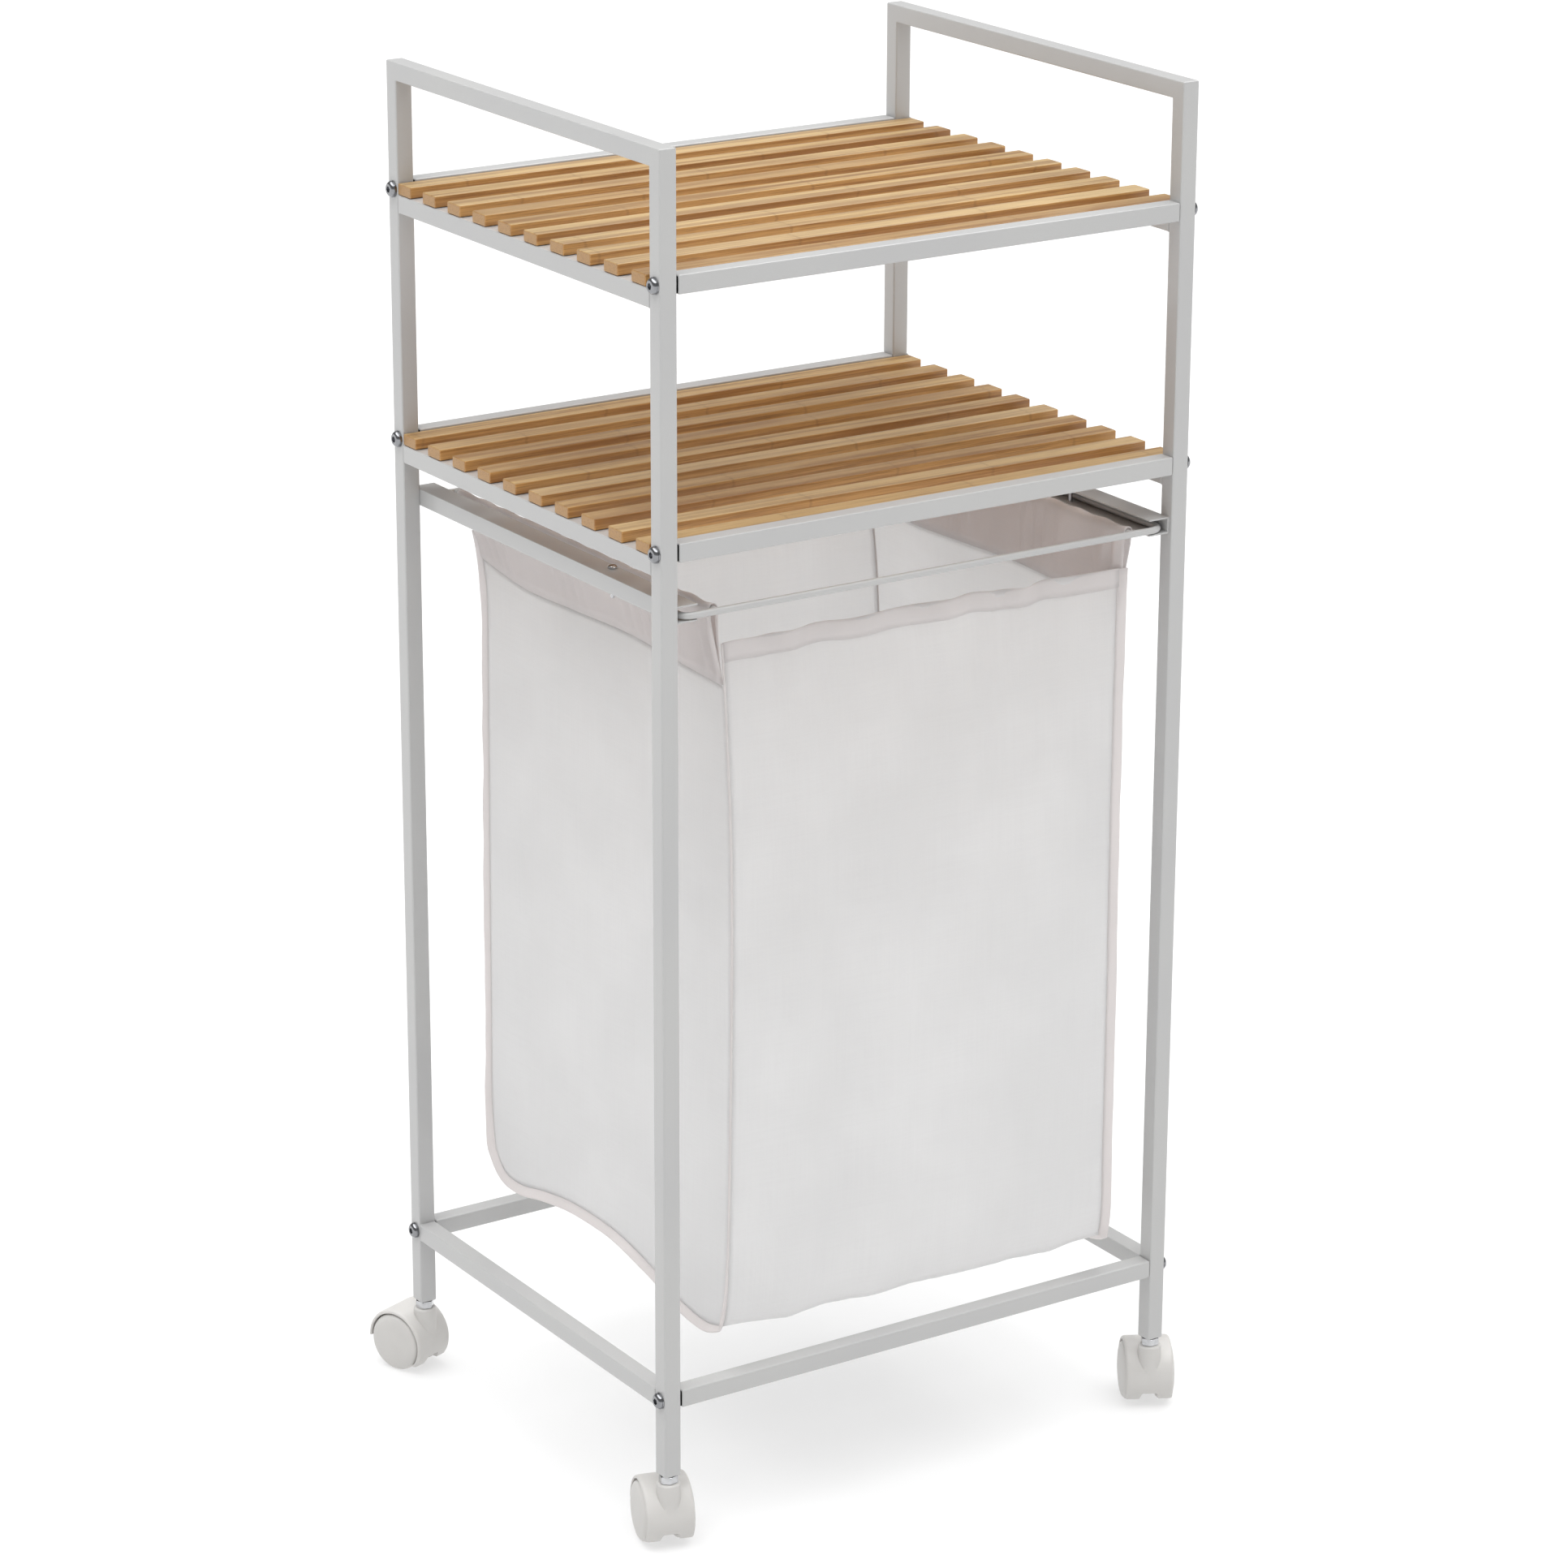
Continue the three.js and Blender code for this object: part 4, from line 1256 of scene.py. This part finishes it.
@dataclass
class LaundryBag:
    """The sewn bag: one long strip for front, bottom and back, and two side panels that end in sleeves."""

    layout: Layout
    across: int = 64
    down: int = 96
    along: int = 60
    hem_height: float = 0.651
    sleeve_seam: float = 0.627
    tape_width: float = 0.007
    cloth: float = 0.0005
    left: list[Triple] = field(default_factory=lambda: [
        (-0.163, -0.1715, 0.651), (-0.160, -0.172, 0.600), (-0.157, -0.173, 0.520), (-0.156, -0.173, 0.446),
        (-0.157, -0.173, 0.330), (-0.159, -0.173, 0.220), (-0.161, -0.172, 0.170), (-0.162, -0.169, 0.155),
        (-0.162, -0.150, 0.150), (-0.162, -0.115, 0.153), (-0.161, -0.075, 0.163), (-0.161, -0.030, 0.172),
        (-0.161, 0.030, 0.173), (-0.161, 0.075, 0.167), (-0.162, 0.107, 0.161), (-0.162, 0.130, 0.163),
        (-0.162, 0.143, 0.178), (-0.162, 0.147, 0.205), (-0.162, 0.1465, 0.300), (-0.162, 0.145, 0.439),
        (-0.162, 0.1435, 0.540), (-0.162, 0.144, 0.610), (-0.163, 0.148, 0.635), (-0.164, 0.152, 0.651),
    ])
    right: list[Triple] = field(default_factory=lambda: [
        (0.163, -0.1715, 0.651), (0.162, -0.172, 0.600), (0.161, -0.173, 0.520), (0.1605, -0.1735, 0.446),
        (0.161, -0.1735, 0.330), (0.1615, -0.173, 0.220), (0.162, -0.172, 0.165), (0.162, -0.169, 0.147),
        (0.162, -0.150, 0.143), (0.161, -0.115, 0.148), (0.160, -0.075, 0.146), (0.160, -0.030, 0.143),
        (0.160, 0.030, 0.140), (0.160, 0.065, 0.138), (0.161, 0.090, 0.138), (0.161, 0.108, 0.142),
        (0.162, 0.120, 0.158), (0.162, 0.124, 0.190), (0.162, 0.123, 0.290), (0.162, 0.121, 0.420),
        (0.162, 0.122, 0.520), (0.162, 0.130, 0.600), (0.163, 0.142, 0.635), (0.164, 0.150, 0.651),
    ])

    def seams(self) -> tuple[list[Vector], list[Vector]]:
        """The two long seams, each down the front, along the bottom and up the back.

        Returns:
            Points of the left and the right seam, in pairs.
        """
        lines = []
        for points in (self.left, self.right):
            whole = [Vector(p) for p in points]
            front = through(whole[:8], self.down)
            bottom = through(whole[7:17], self.along)
            back = through(whole[16:], self.down)
            lines.append(front + bottom[1:] + back[1:])
        return lines[0], lines[1]

    def billow(self, share: float, t: float) -> Vector:
        """How far the strip stands off the straight line between its seams.

        Args:
            share: 0 at the front hem, 1 at the back hem.
            t: 0 at the left seam, 1 at the right one.

        Returns:
            The offset.
        """
        middle = math.sin(math.pi * t)
        total = 2 * self.down + self.along - 2
        front = 1 - ease((share * total - self.down * 0.80) / (self.down * 0.35))
        back = ease((share * total - self.down - self.along * 0.75) / (self.down * 0.35))
        bottom = 1 - front - back
        top = math.exp(-share * total / (self.down * 0.10))
        top_back = math.exp(-(1 - share) * total / (self.down * 0.16))
        y = -0.003 * middle * front + 0.0075 * middle * top
        y = y + 0.006 * middle * back - 0.010 * middle * top_back
        z = -0.006 * middle * bottom
        return Vector((0, y, z))

    def folds(self, point: Vector, amount: float) -> float:
        """Soft upright folds and small crumples.

        Args:
            point: Where.
            amount: Their size at that place.

        Returns:
            How far the cloth stands out.
        """
        upright = noise.noise(Vector((point.x * 26, point.y * 26, point.z * 3.0)))
        small = noise.noise(Vector((point.x * 70 + 9, point.y * 70, point.z * 16.0)))
        return amount * (0.0032 * upright + 0.0009 * small)

    def strip(self, left: Sequence[Vector], right: Sequence[Vector]) -> Object:
        """The strip of cloth that makes the front, bottom and back."""
        points, plan, faces = [], [], []
        rows, columns = len(left), self.across + 1
        length = 0.0
        for i in range(rows):
            if i:
                length += ((left[i] - left[i - 1]).length + (right[i] - right[i - 1]).length) / 2
            share = i / (rows - 1)
            ahead = left[min(i + 1, rows - 1)] - left[max(i - 1, 0)]
            for j in range(columns):
                t = j / self.across
                point = left[i].lerp(right[i], t) + self.billow(share, t)
                across = right[i] - left[i]
                normal = across.cross(ahead).normalized()
                hem = math.exp(-share * 26) + math.exp(-(1 - share) * 26)
                edge = min(1.0, 6 * min(t, 1 - t))
                ruck = hem * 0.0020 * math.sin(46 * t + 3 * math.sin(9 * t)) * edge
                point = point + normal * (self.folds(point, edge) + ruck)
                point.z += hem * 0.0012 * math.sin(31 * t + 1.0) * edge
                points.append(point)
                plan.append((t * across.length, length))
        for i in range(rows - 1):
            for j in range(columns - 1):
                a = i * columns + j
                faces.append((a, a + columns, a + columns + 1, a + 1))
        return Bench.cloth("bag_strip", points, faces, plan)

    def sleeve_line(self, side: Side, count: int) -> list[Vector]:
        """Where the sleeve is sewn to its side panel, front to back.

        Args:
            side: Which side.
            count: How many points.

        Returns:
            The points.
        """
        x = side.value
        keys = [
            (0.163 * x, -0.1715, 0.622), (0.1625 * x, -0.120, 0.624), (0.162 * x, -0.050, 0.627),
            (0.162 * x, 0.020, 0.625), (0.1625 * x, 0.090, 0.624), (0.163 * x, 0.1475, 0.632),
        ]
        return through([Vector(k) for k in keys], count)

    def side_panel(self, side: Side, seam: Sequence[Vector]) -> Object:
        """A side panel, filled in between its seam and its sleeve."""
        rows, columns = self.down, self.along
        front = list(seam[: self.down])
        bottom = list(seam[self.down - 1 : self.down + self.along - 1])
        back = list(reversed(seam[self.down + self.along - 2 :]))
        top = self.sleeve_line(side, columns)
        first = next(i for i, p in enumerate(front) if p.z <= top[0].z)
        front = through(front[first:], rows)
        first = next(i for i, p in enumerate(back) if p.z <= top[-1].z)
        back = through(back[first:], rows)
        top[0], top[-1] = front[0].copy(), back[0].copy()
        points, plan, faces = [], [], []
        for i in range(rows):
            v = i / (rows - 1)
            for j in range(columns):
                u = j / (columns - 1)
                ruled = top[j].lerp(bottom[j], v) + front[i].lerp(back[i], u)
                corners = (
                    top[0].lerp(top[-1], u).lerp(bottom[0].lerp(bottom[-1], u), v)
                )
                point = ruled - corners
                edge = min(1.0, 6 * min(u, 1 - u), 8 * min(v, 1 - v))
                belly = 0.004 * math.sin(math.pi * u) * math.sin(math.pi * v)
                point.x += side.value * (belly + self.folds(point, edge))
                points.append(point)
                plan.append((point.y, point.z))
        for i in range(rows - 1):
            for j in range(columns - 1):
                a = i * columns + j
                ring = (a, a + columns, a + columns + 1, a + 1)
                faces.append(ring if side is Side.LEFT else ring[::-1])
        return Bench.cloth(f"bag_side_{side.word}", points, faces, plan)

    def sleeve(self, side: Side) -> Object:
        """The double band around a hanger wire, puckered where the cloth is gathered."""
        lay = self.layout
        columns = 120
        seam = self.sleeve_line(side, columns)
        front, back = lay.wire_front + lay.wire_radius + 0.001, lay.wire_back - lay.wire_radius - 0.006
        points, plan, faces = [], [], []
        profile = self.sleeve_profile()
        for j in range(columns):
            u = j / (columns - 1)
            y_top = front + (back - front) * u
            pucker = 0.35 + 0.65 * math.exp(-u * 5) + 0.3 * math.exp(-(1 - u) * 7)
            for k, (out, share) in enumerate(profile):
                y = seam[j].y + (y_top - seam[j].y) * share
                seam_x = abs(seam[j].x)
                x = seam_x + (lay.hanger_x - seam_x) * share ** 1.3 + out
                z = seam[j].z + (lay.wire_z - seam[j].z) * share
                belly = math.sin(math.pi * min(share, 1.0)) ** 0.7
                wave = math.sin(u * 95 + 4 * math.sin(u * 21) + k * 0.05) * belly
                x += 0.0024 * pucker * wave
                z += 0.0007 * pucker * math.sin(u * 70 + 2) * max(share - 0.9, 0) * 8
                points.append(Vector((side.value * x, y, z)))
                plan.append((y, k * 0.004))
        rings = len(profile)
        for j in range(columns - 1):
            for k in range(rings - 1):
                a = j * rings + k
                ring = (a, a + 1, a + rings + 1, a + rings)
                faces.append(ring if side is Side.RIGHT else ring[::-1])
        return Bench.cloth(f"bag_sleeve_{side.word}", points, faces, plan)

    def sleeve_profile(self) -> list[tuple[float, float]]:
        """Cross-section of a sleeve as pairs of outward offset and share of the height to the wire.

        Returns:
            The pairs, from the seam up the outside, over the wire and down the inside.
        """
        r = self.layout.wire_radius + 0.00075
        rise = 1.0 / (self.layout.wire_z - self.sleeve_seam)
        steps = 7
        outside = [(0.0008 + (r - 0.0008) * ease(k / steps), k / steps) for k in range(steps)]
        over = []
        for k in range(9):
            a = math.pi * k / 8
            over.append((r * math.cos(a), 1.0 + r * math.sin(a) * rise))
        inside = [(-0.0008 - (r - 0.0008) * ease(k / steps), k / steps) for k in range(steps - 1, -1, -1)]
        return outside + over + inside

    def band(self, name: str, line: Sequence[Vector], outward: Callable[[float, Vector], Vector],
             width: float, thickness: float) -> Object:
        """A folded tape along a line.

        Args:
            name: Name of the piece.
            line: The edge that it is sewn to.
            outward: Direction of its width at a share of the line's length; a shorter vector narrows it.
            width: Its width.
            thickness: Its thickness at the fold.

        Returns:
            The tape.
        """
        points, plan, faces = [], [], []
        half = [(-0.25, 0.30), (0.15, 0.46), (0.8, 0.5), (0.97, 0.36)]
        shape = [*half, (1.0, 0.0), *((along, -off) for along, off in reversed(half))]
        rings = len(shape)
        length = 0.0
        for i, point in enumerate(line):
            if i:
                length += (point - line[i - 1]).length
            share = i / (len(line) - 1)
            ahead = (line[min(i + 1, len(line) - 1)] - line[max(i - 1, 0)]).normalized()
            out = outward(share, point)
            reach = out.length
            out = (out - ahead * out.dot(ahead)).normalized()
            side = ahead.cross(out).normalized()
            lean = 0.18 * ripple(point, 32.0, 4.0)
            out, side = (out + side * lean).normalized(), (side - out * lean).normalized()
            for along, off in shape:
                points.append(point + out * (width * reach * along) + side * (thickness * off))
                plan.append((length, width * along + (0.0 if off > 0 else 0.02)))
        for i in range(len(line) - 1):
            for k in range(rings):
                a, b = i * rings + k, i * rings + (k + 1) % rings
                faces.append((a, b, b + rings, a + rings))
        last = (len(line) - 1) * rings
        faces.append(tuple(reversed(range(rings))))
        faces.append(tuple(last + k for k in range(rings)))
        obj = Bench.cloth(name, points, faces, plan)
        Bench.only(obj)
        bpy.ops.object.mode_set(mode="EDIT")
        bpy.ops.mesh.select_all(action="SELECT")
        bpy.ops.mesh.normals_make_consistent(inside=False)
        bpy.ops.object.mode_set(mode="OBJECT")
        return obj

    def tapes(self, left: Sequence[Vector], right: Sequence[Vector]) -> list[Object]:
        """The bound seam allowances that stand out along both long seams."""
        made = []
        for side, seam in ((Side.LEFT, left), (Side.RIGHT, right)):
            rows = len(seam) - 1
            down, turn = self.down / rows, (self.down + self.along) / rows

            def outward(share: float, point: Vector, side: Side = side, down: float = down,
                        turn: float = turn) -> Vector:
                low = ease((share - down + 0.05) / 0.08)
                up = ease((share - turn + 0.03) / 0.08)
                front = Vector((side.value * 1.0, -0.35 if side is Side.LEFT else -0.1, 0))
                under = Vector((side.value * 0.35, 0, -1.0))
                behind = Vector((side.value * 0.15, 1.0, 0))
                narrow = 0.22 if side is Side.LEFT else 1.0
                return front.lerp(under, low).lerp(behind, up).normalized() * (narrow + (1 - narrow) * low)

            made.append(self.band(f"bag_tape_{side.word}", seam, outward, self.tape_width, 0.0013))
        return made

    def hem(self, strip: Object, end: End) -> Object:
        """The folded hem along the top of the front or back, laid over the strip's own edge."""
        mesh = strip.data
        columns = self.across + 1
        rows = len(mesh.vertices) // columns
        depth = [0, 1, 2] if end is End.FRONT else [rows - 1, rows - 2, rows - 3]
        top = [mesh.vertices[depth[0] * columns + j].co.copy() for j in range(columns)]
        low = [mesh.vertices[depth[2] * columns + j].co.copy() for j in range(columns)]
        line = [a.lerp(b, 1.0).copy() for a, b in zip(top, low)]
        directions = [(a - b).normalized() for a, b in zip(top, low)]
        width = sum((a - b).length for a, b in zip(top, low)) / columns + 0.0004

        def outward(share: float, point: Vector) -> Vector:
            return directions[round(share * (columns - 1))]

        return self.band(f"bag_hem_{end.word}", line, outward, width, 0.0017)

    def build(self) -> list[Object]:
        """Sews the bag together.

        Returns:
            Its pieces.
        """
        lay = self.layout
        left, right = self.seams()
        strip = self.strip(left, right)
        sides = [self.side_panel(side, seam) for side, seam in ((Side.LEFT, left), (Side.RIGHT, right))]
        sleeves = [self.sleeve(side) for side in Side]
        tapes = self.tapes(left, right)
        hems = [self.hem(strip, end) for end in End]
        for sheet in (strip, *sides, *sleeves):
            Bench.apply(sheet, "SOLIDIFY", thickness=self.cloth, offset=0.0)
            Bench.only(sheet)
            bpy.ops.object.shade_smooth()
        single = BagCloth()
        double = BagCloth(name="doubled bag cloth", tone=(244, 240, 239), see_through=0.06, glow=0.50)
        made = []
        for piece in (strip, *sides, *sleeves, *tapes, *hems):
            nodes = ("bag",) if piece is strip else ()
            finish = single if piece in (strip, *sides) else double
            made.append(hand_over(piece, lay, finish, Slot.CLOTH, CARRIAGE_BODY, *nodes))
        return made


# --------------------------------------------------------------------------------------------------
# Casters


@dataclass
class Caster:
    """A twin-wheel caster: a stem in the post, a hood that swivels on it and a wheel on each side.

    It is made in its own frame, with the stem on the Z axis, and it trails towards +Y.
    """

    layout: Layout
    wheel_radius: float = 0.022
    trail: float = 0.016
    web_half: float = 0.006
    hood_inner: float = 0.0226
    skirt: float = 0.007
    notch_half: float = 0.0058
    notch_top: float = 0.0126
    notch_low: float = 0.004
    notch_flare: float = 1.35
    boss_radius: float = 0.0084
    boss_top: float = 0.050
    collar_flats: float = 0.012

    def at_axle(self, obj: Object) -> Object:
        """Turns a shape made about +Z so that its axis is the axle's, along +X."""
        turn = Matrix.Rotation(math.pi / 2, 4, "Y")
        obj.data.transform(Matrix.Translation((0, self.trail, self.wheel_radius)) @ turn)
        return obj

    def stem(self) -> Object:
        """The pin with its ring and screw, and the hexagon collar."""
        low, foot = self.boss_top - 0.019, self.layout.post_foot
        profile = [
            (0, low), (0.0036, low), (0.004, low + 0.0004), (0.004, low + 0.002),
            (0.0048, low + 0.003), (0.0048, low + 0.0045), (0.004, low + 0.0055),
            (0.004, self.boss_top - 0.0006), (0.004, foot + 0.001), (0.004, foot + 0.0216),
            (0.0036, foot + 0.022), (0, foot + 0.022),
        ]
        pin = Bench.turned("pin", profile, 32)
        Bench.smooth(pin, 40)
        corner = self.collar_flats / 2 / math.cos(math.pi / 6)
        collar = Bench.drum("collar", corner, self.boss_top + 0.0003, foot - 0.0003, 6)
        crown = Bench.turned("crown", [
            (0, -0.01), (corner * 0.93, -0.01), (corner * 0.93, 0), (corner * 1.02, 0.0009),
            (corner * 1.02, 0.0045), (corner * 0.93, 0.0054), (0, 0.0054),
        ], 48)
        crown.data.transform(Matrix.Translation((0, 0, self.boss_top + 0.0003)))
        Bench.apply(collar, "BOOLEAN", operation="INTERSECT", solver="EXACT", object=crown)
        bpy.data.objects.remove(crown)
        Bench.soften(collar, 0.0002, 2, 25)
        return Bench.join("stem", [pin, collar])

    def wells(self, radius: float, inside: float) -> list[Object]:
        """The round hollows that the wheels turn in, as cutters.

        Args:
            radius: Their radius.
            inside: How near they come to the middle.

        Returns:
            One cutter per wheel.
        """
        made = []
        for side in Side:
            ends = sorted((side.value * inside, side.value * 0.024))
            made.append(self.at_axle(Bench.drum("well", radius, ends[0], ends[1], 96)))
        return made

    def boss(self) -> Object:
        """The round boss that the stem goes into, cleared of the wheels."""
        r, low = self.boss_radius, self.wheel_radius - 0.002
        obj = Bench.turned("boss", [
            (0, low), (r + 0.0002, low), (r + 0.0002, 0.036), (r, self.boss_top - 0.0018),
            (r - 0.0004, 0.0494), (r - 0.0012, self.boss_top), (0, self.boss_top),
        ], 64)
        for well in self.wells(self.hood_inner + 0.0008, self.web_half - 0.0006):
            Bench.carve(obj, well)
        Bench.carve(obj, Bench.drum("socket", 0.0043, self.boss_top - 0.0193, self.boss_top + 0.001, 32))
        return obj

    def hood(self) -> Object:
        """The rounded hood with its boss, its wheel wells and the notch between the wheels."""
        web, inner = self.web_half, self.hood_inner
        rim = [(0.0252, 0.0142), (0.0251, 0.0156), (0.0247, 0.0166), (0.0240, 0.0172), (0.0232, 0.0175)]
        half = [(0, web), (inner - 0.0012, web), (inner, web + 0.0012), (inner, 0.0169), *reversed(rim)]
        profile = [(r, -x) for r, x in half] + [(r, x) for r, x in reversed(half)]
        obj = self.at_axle(Bench.turned("hood", profile, 96))
        far = 0.06
        back = self.trail + 0.0001
        Bench.carve(obj, Bench.block("behind", (-far, back, -far), (far, far, self.wheel_radius)))
        Bench.carve(obj, Bench.block("under", (-far, -far, -far), (far, far, self.skirt)))
        half_notch = self.notch_half
        notch = Bench.block("notch", (-half_notch, -far, self.notch_low), (half_notch, far, self.notch_top))
        Bench.pick(notch, lambda c, n: n.z < -0.9)
        Bench.resize((self.notch_flare, 1, 1), (0, 0, 0))
        Bench.done()
        Bench.apply(
            notch, "BEVEL", width=0.0016, segments=4, limit_method="ANGLE", angle_limit=math.radians(40)
        )
        Bench.carve(obj, notch)
        Bench.carve(obj, Bench.drum("socket", 0.0046, self.boss_top - 0.0195, self.boss_top + 0.001, 36))
        Bench.fuse(obj, self.boss())
        Bench.fuse(obj, self.at_axle(Bench.drum("axle", 0.003, -0.0165, 0.0165, 24)))
        Bench.soften(obj, 0.0004, 2, 42)
        return obj

    def wheel(self, side: Side) -> Object:
        """A domed wheel on one side of the hood."""
        inside, cap = self.web_half + 0.0005, 0.017
        profile = [
            (0.0033, inside), (0.0190, inside), (0.0206, inside + 0.0006), (0.0216, inside + 0.0018),
            (0.0220, inside + 0.0034), (0.0220, 0.0138),
            (0.0218, 0.0153), (0.0213, 0.0166), (0.0204, 0.0176), (0.0191, 0.0184), (0.0172, 0.0190),
            (0.0140, 0.0195), (0.0095, 0.0198), (0.0045, 0.01995), (0, 0.020), (0, cap), (0.0033, cap),
            (0.0033, inside),
        ]
        obj = self.at_axle(Bench.turned("wheel", profile, 96))
        if side is Side.LEFT:
            obj.data.transform(Matrix.Scale(-1, 4, (1, 0, 0)))
            obj.data.flip_normals()
        Bench.smooth(obj, 40)
        return obj

    def standing(self, side: Side, end: End, angle: float) -> Matrix:
        """From the caster's own frame to its corner of the trolley.

        Args:
            side: Left or right.
            end: Front or back.
            angle: Which way it trails, in degrees from +X.

        Returns:
            The matrix.
        """
        lay = self.layout
        place = Matrix.Translation((side.value * lay.post_x, end.value * lay.post_y, 0))
        return place @ Matrix.Rotation(math.radians(angle - 90), 4, "Z")

    def build(self, angles: dict[tuple[End, Side], float]) -> list[Object]:
        """Makes each piece once and copies it to the four corners.

        Args:
            angles: Which way the caster trails at each corner.

        Returns:
            The pieces.
        """
        steel, plastic = BrightSteel(), CasterPlastic()
        kinds = (
            ("stem", self.stem(), steel, Slot.STEEL), ("hood", self.hood(), plastic, Slot.PLASTIC),
            ("wheel_a", self.wheel(Side.LEFT), plastic, Slot.PLASTIC),
            ("wheel_b", self.wheel(Side.RIGHT), plastic, Slot.PLASTIC),
        )
        made = []
        for (end, side), angle in angles.items():
            corner = f"{end.word}_{side.word}"
            for part, first, finish, slot in kinds:
                node = f"caster_{corner}_{part}"
                body = FRAME_BODY if part == "stem" else f"{corner}_{part}"
                obj = Bench.copy(first, f"{node}_shape", self.standing(side, end, angle))
                made.append(hand_over(obj, self.layout, finish, slot, body, node))
        for _, first, _, _ in kinds:
            bpy.data.objects.remove(first)
        return made


# --------------------------------------------------------------------------------------------------
# Stage


@dataclass
class Studio:
    """A pale floor, soft light and the camera."""

    layout: Layout
    azimuth: float = -33.13
    elevation: float = 18.83
    roll: float = 0.20
    distance: float = 3.6555
    target: Triple = (-0.0021, 0.0, 0.4741)
    focal: float = 6299.1
    picture: float = 1932.0
    sun_power: float = 4.2
    sun_spread: float = 84.0
    sun_from: Triple = (0.0, 0.0, 1.0)
    horizon: float = 0.46
    upper: float = 0.30

    def floor(self) -> Object:
        """A wide pale floor."""
        bpy.ops.object.select_all(action="DESELECT")
        bpy.ops.mesh.primitive_plane_add(size=60, location=(0, 0, 0))
        obj = bpy.context.active_object
        obj.name = "floor"
        material = bpy.data.materials.new("floor")
        material.use_nodes = True
        tree = Tree(material.node_tree)
        speck = tree.noise(tree.place(), 3.0, 2.0)
        colour = tree.blend(speck, (0.37, 0.37, 0.37, 1), (0.38, 0.38, 0.38, 1))
        Finish.surface(tree, {
            "Base Color": colour, "Roughness": 0.9, "Specular IOR Level": 0.0, "Emission Color": (1, 1, 1, 1),
            "Emission Strength": 0.58,
        })
        obj.data.materials.append(material)
        return obj

    def sun(self) -> Object:
        """A very wide soft light from overhead, so that the floor is evenly lit far away."""
        data = bpy.data.lights.new("overhead", "SUN")
        data.energy = self.sun_power
        data.angle = math.radians(self.sun_spread)
        obj = bpy.data.objects.new("overhead", data)
        obj.rotation_euler = (-Vector(self.sun_from)).to_track_quat("-Z", "Y").to_euler()
        bpy.context.scene.collection.objects.link(obj)
        return obj

    def sky(self, world: bpy.types.World) -> None:
        """A studio that is bright at the horizon, dimmer above it and brighter again overhead."""
        tree = Tree(world.node_tree)
        height = tree.node("ShaderNodeSeparateXYZ", {0: tree.node("ShaderNodeTexCoord").outputs["Generated"]})
        z = height.outputs[2]
        dim = tree.maths("MULTIPLY", tree.spread(z, 0.10, 0.30), tree.spread(z, 0.70, 0.90, 1.0, 0.35))
        level = tree.maths("SUBTRACT", self.horizon, tree.maths("MULTIPLY", dim, self.horizon - self.upper))
        level = tree.maths("MAXIMUM", level, tree.spread(z, 0.10, 0.04))
        light = tree.node("ShaderNodeBackground", {"Color": (1.0, 1.0, 1.0, 1.0), "Strength": level})
        out = tree.node("ShaderNodeOutputWorld")
        tree.tree.links.new(light.outputs[0], out.inputs["Surface"])

    def camera(self) -> Object:
        """The camera, at the angle that the trolley is looked at from."""
        data = bpy.data.cameras.new("camera")
        data.sensor_width = 36.0
        data.lens = self.focal / self.picture * 36.0
        obj = bpy.data.objects.new("camera", data)
        a, e = math.radians(self.azimuth), math.radians(self.elevation)
        back = Vector((math.sin(a) * math.cos(e), -math.cos(a) * math.cos(e), math.sin(e)))
        roll = Matrix.Rotation(math.radians(self.roll), 4, "Z")
        turn = (-back).to_track_quat("-Z", "Y").to_matrix().to_4x4() @ roll
        place = self.layout.centre + Vector(self.target) + back * self.distance
        obj.matrix_world = Matrix.Translation(place) @ turn
        bpy.context.scene.collection.objects.link(obj)
        bpy.context.scene.camera = obj
        return obj

    def build(self) -> None:
        """Sets the stage."""
        scene = bpy.context.scene
        scene.view_settings.view_transform = "Standard"
        world = bpy.data.worlds.new("studio")
        scene.world = world
        world.use_nodes = True
        self.sky(world)
        self.floor()
        self.sun()
        self.camera()


def main() -> None:
    """Builds every part of the trolley in order."""
    logging.basicConfig(level=logging.INFO, format="%(name)s: %(message)s")
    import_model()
    layout = Layout.from_frame()
    for side in Side:
        SideFrame(layout, side).build()
    CrossRails(layout).build()
    Shelves(layout).build()
    Fasteners(layout).build()
    WireCarriage(layout).build()
    LaundryBag(layout).build()
    angles = {
        (End.FRONT, Side.LEFT): 73, (End.FRONT, Side.RIGHT): 61,
        (End.BACK, Side.LEFT): 110, (End.BACK, Side.RIGHT): 78,
    }
    Caster(layout).build(angles)
    Studio(layout).build()


if __name__ == "__main__":
    main()
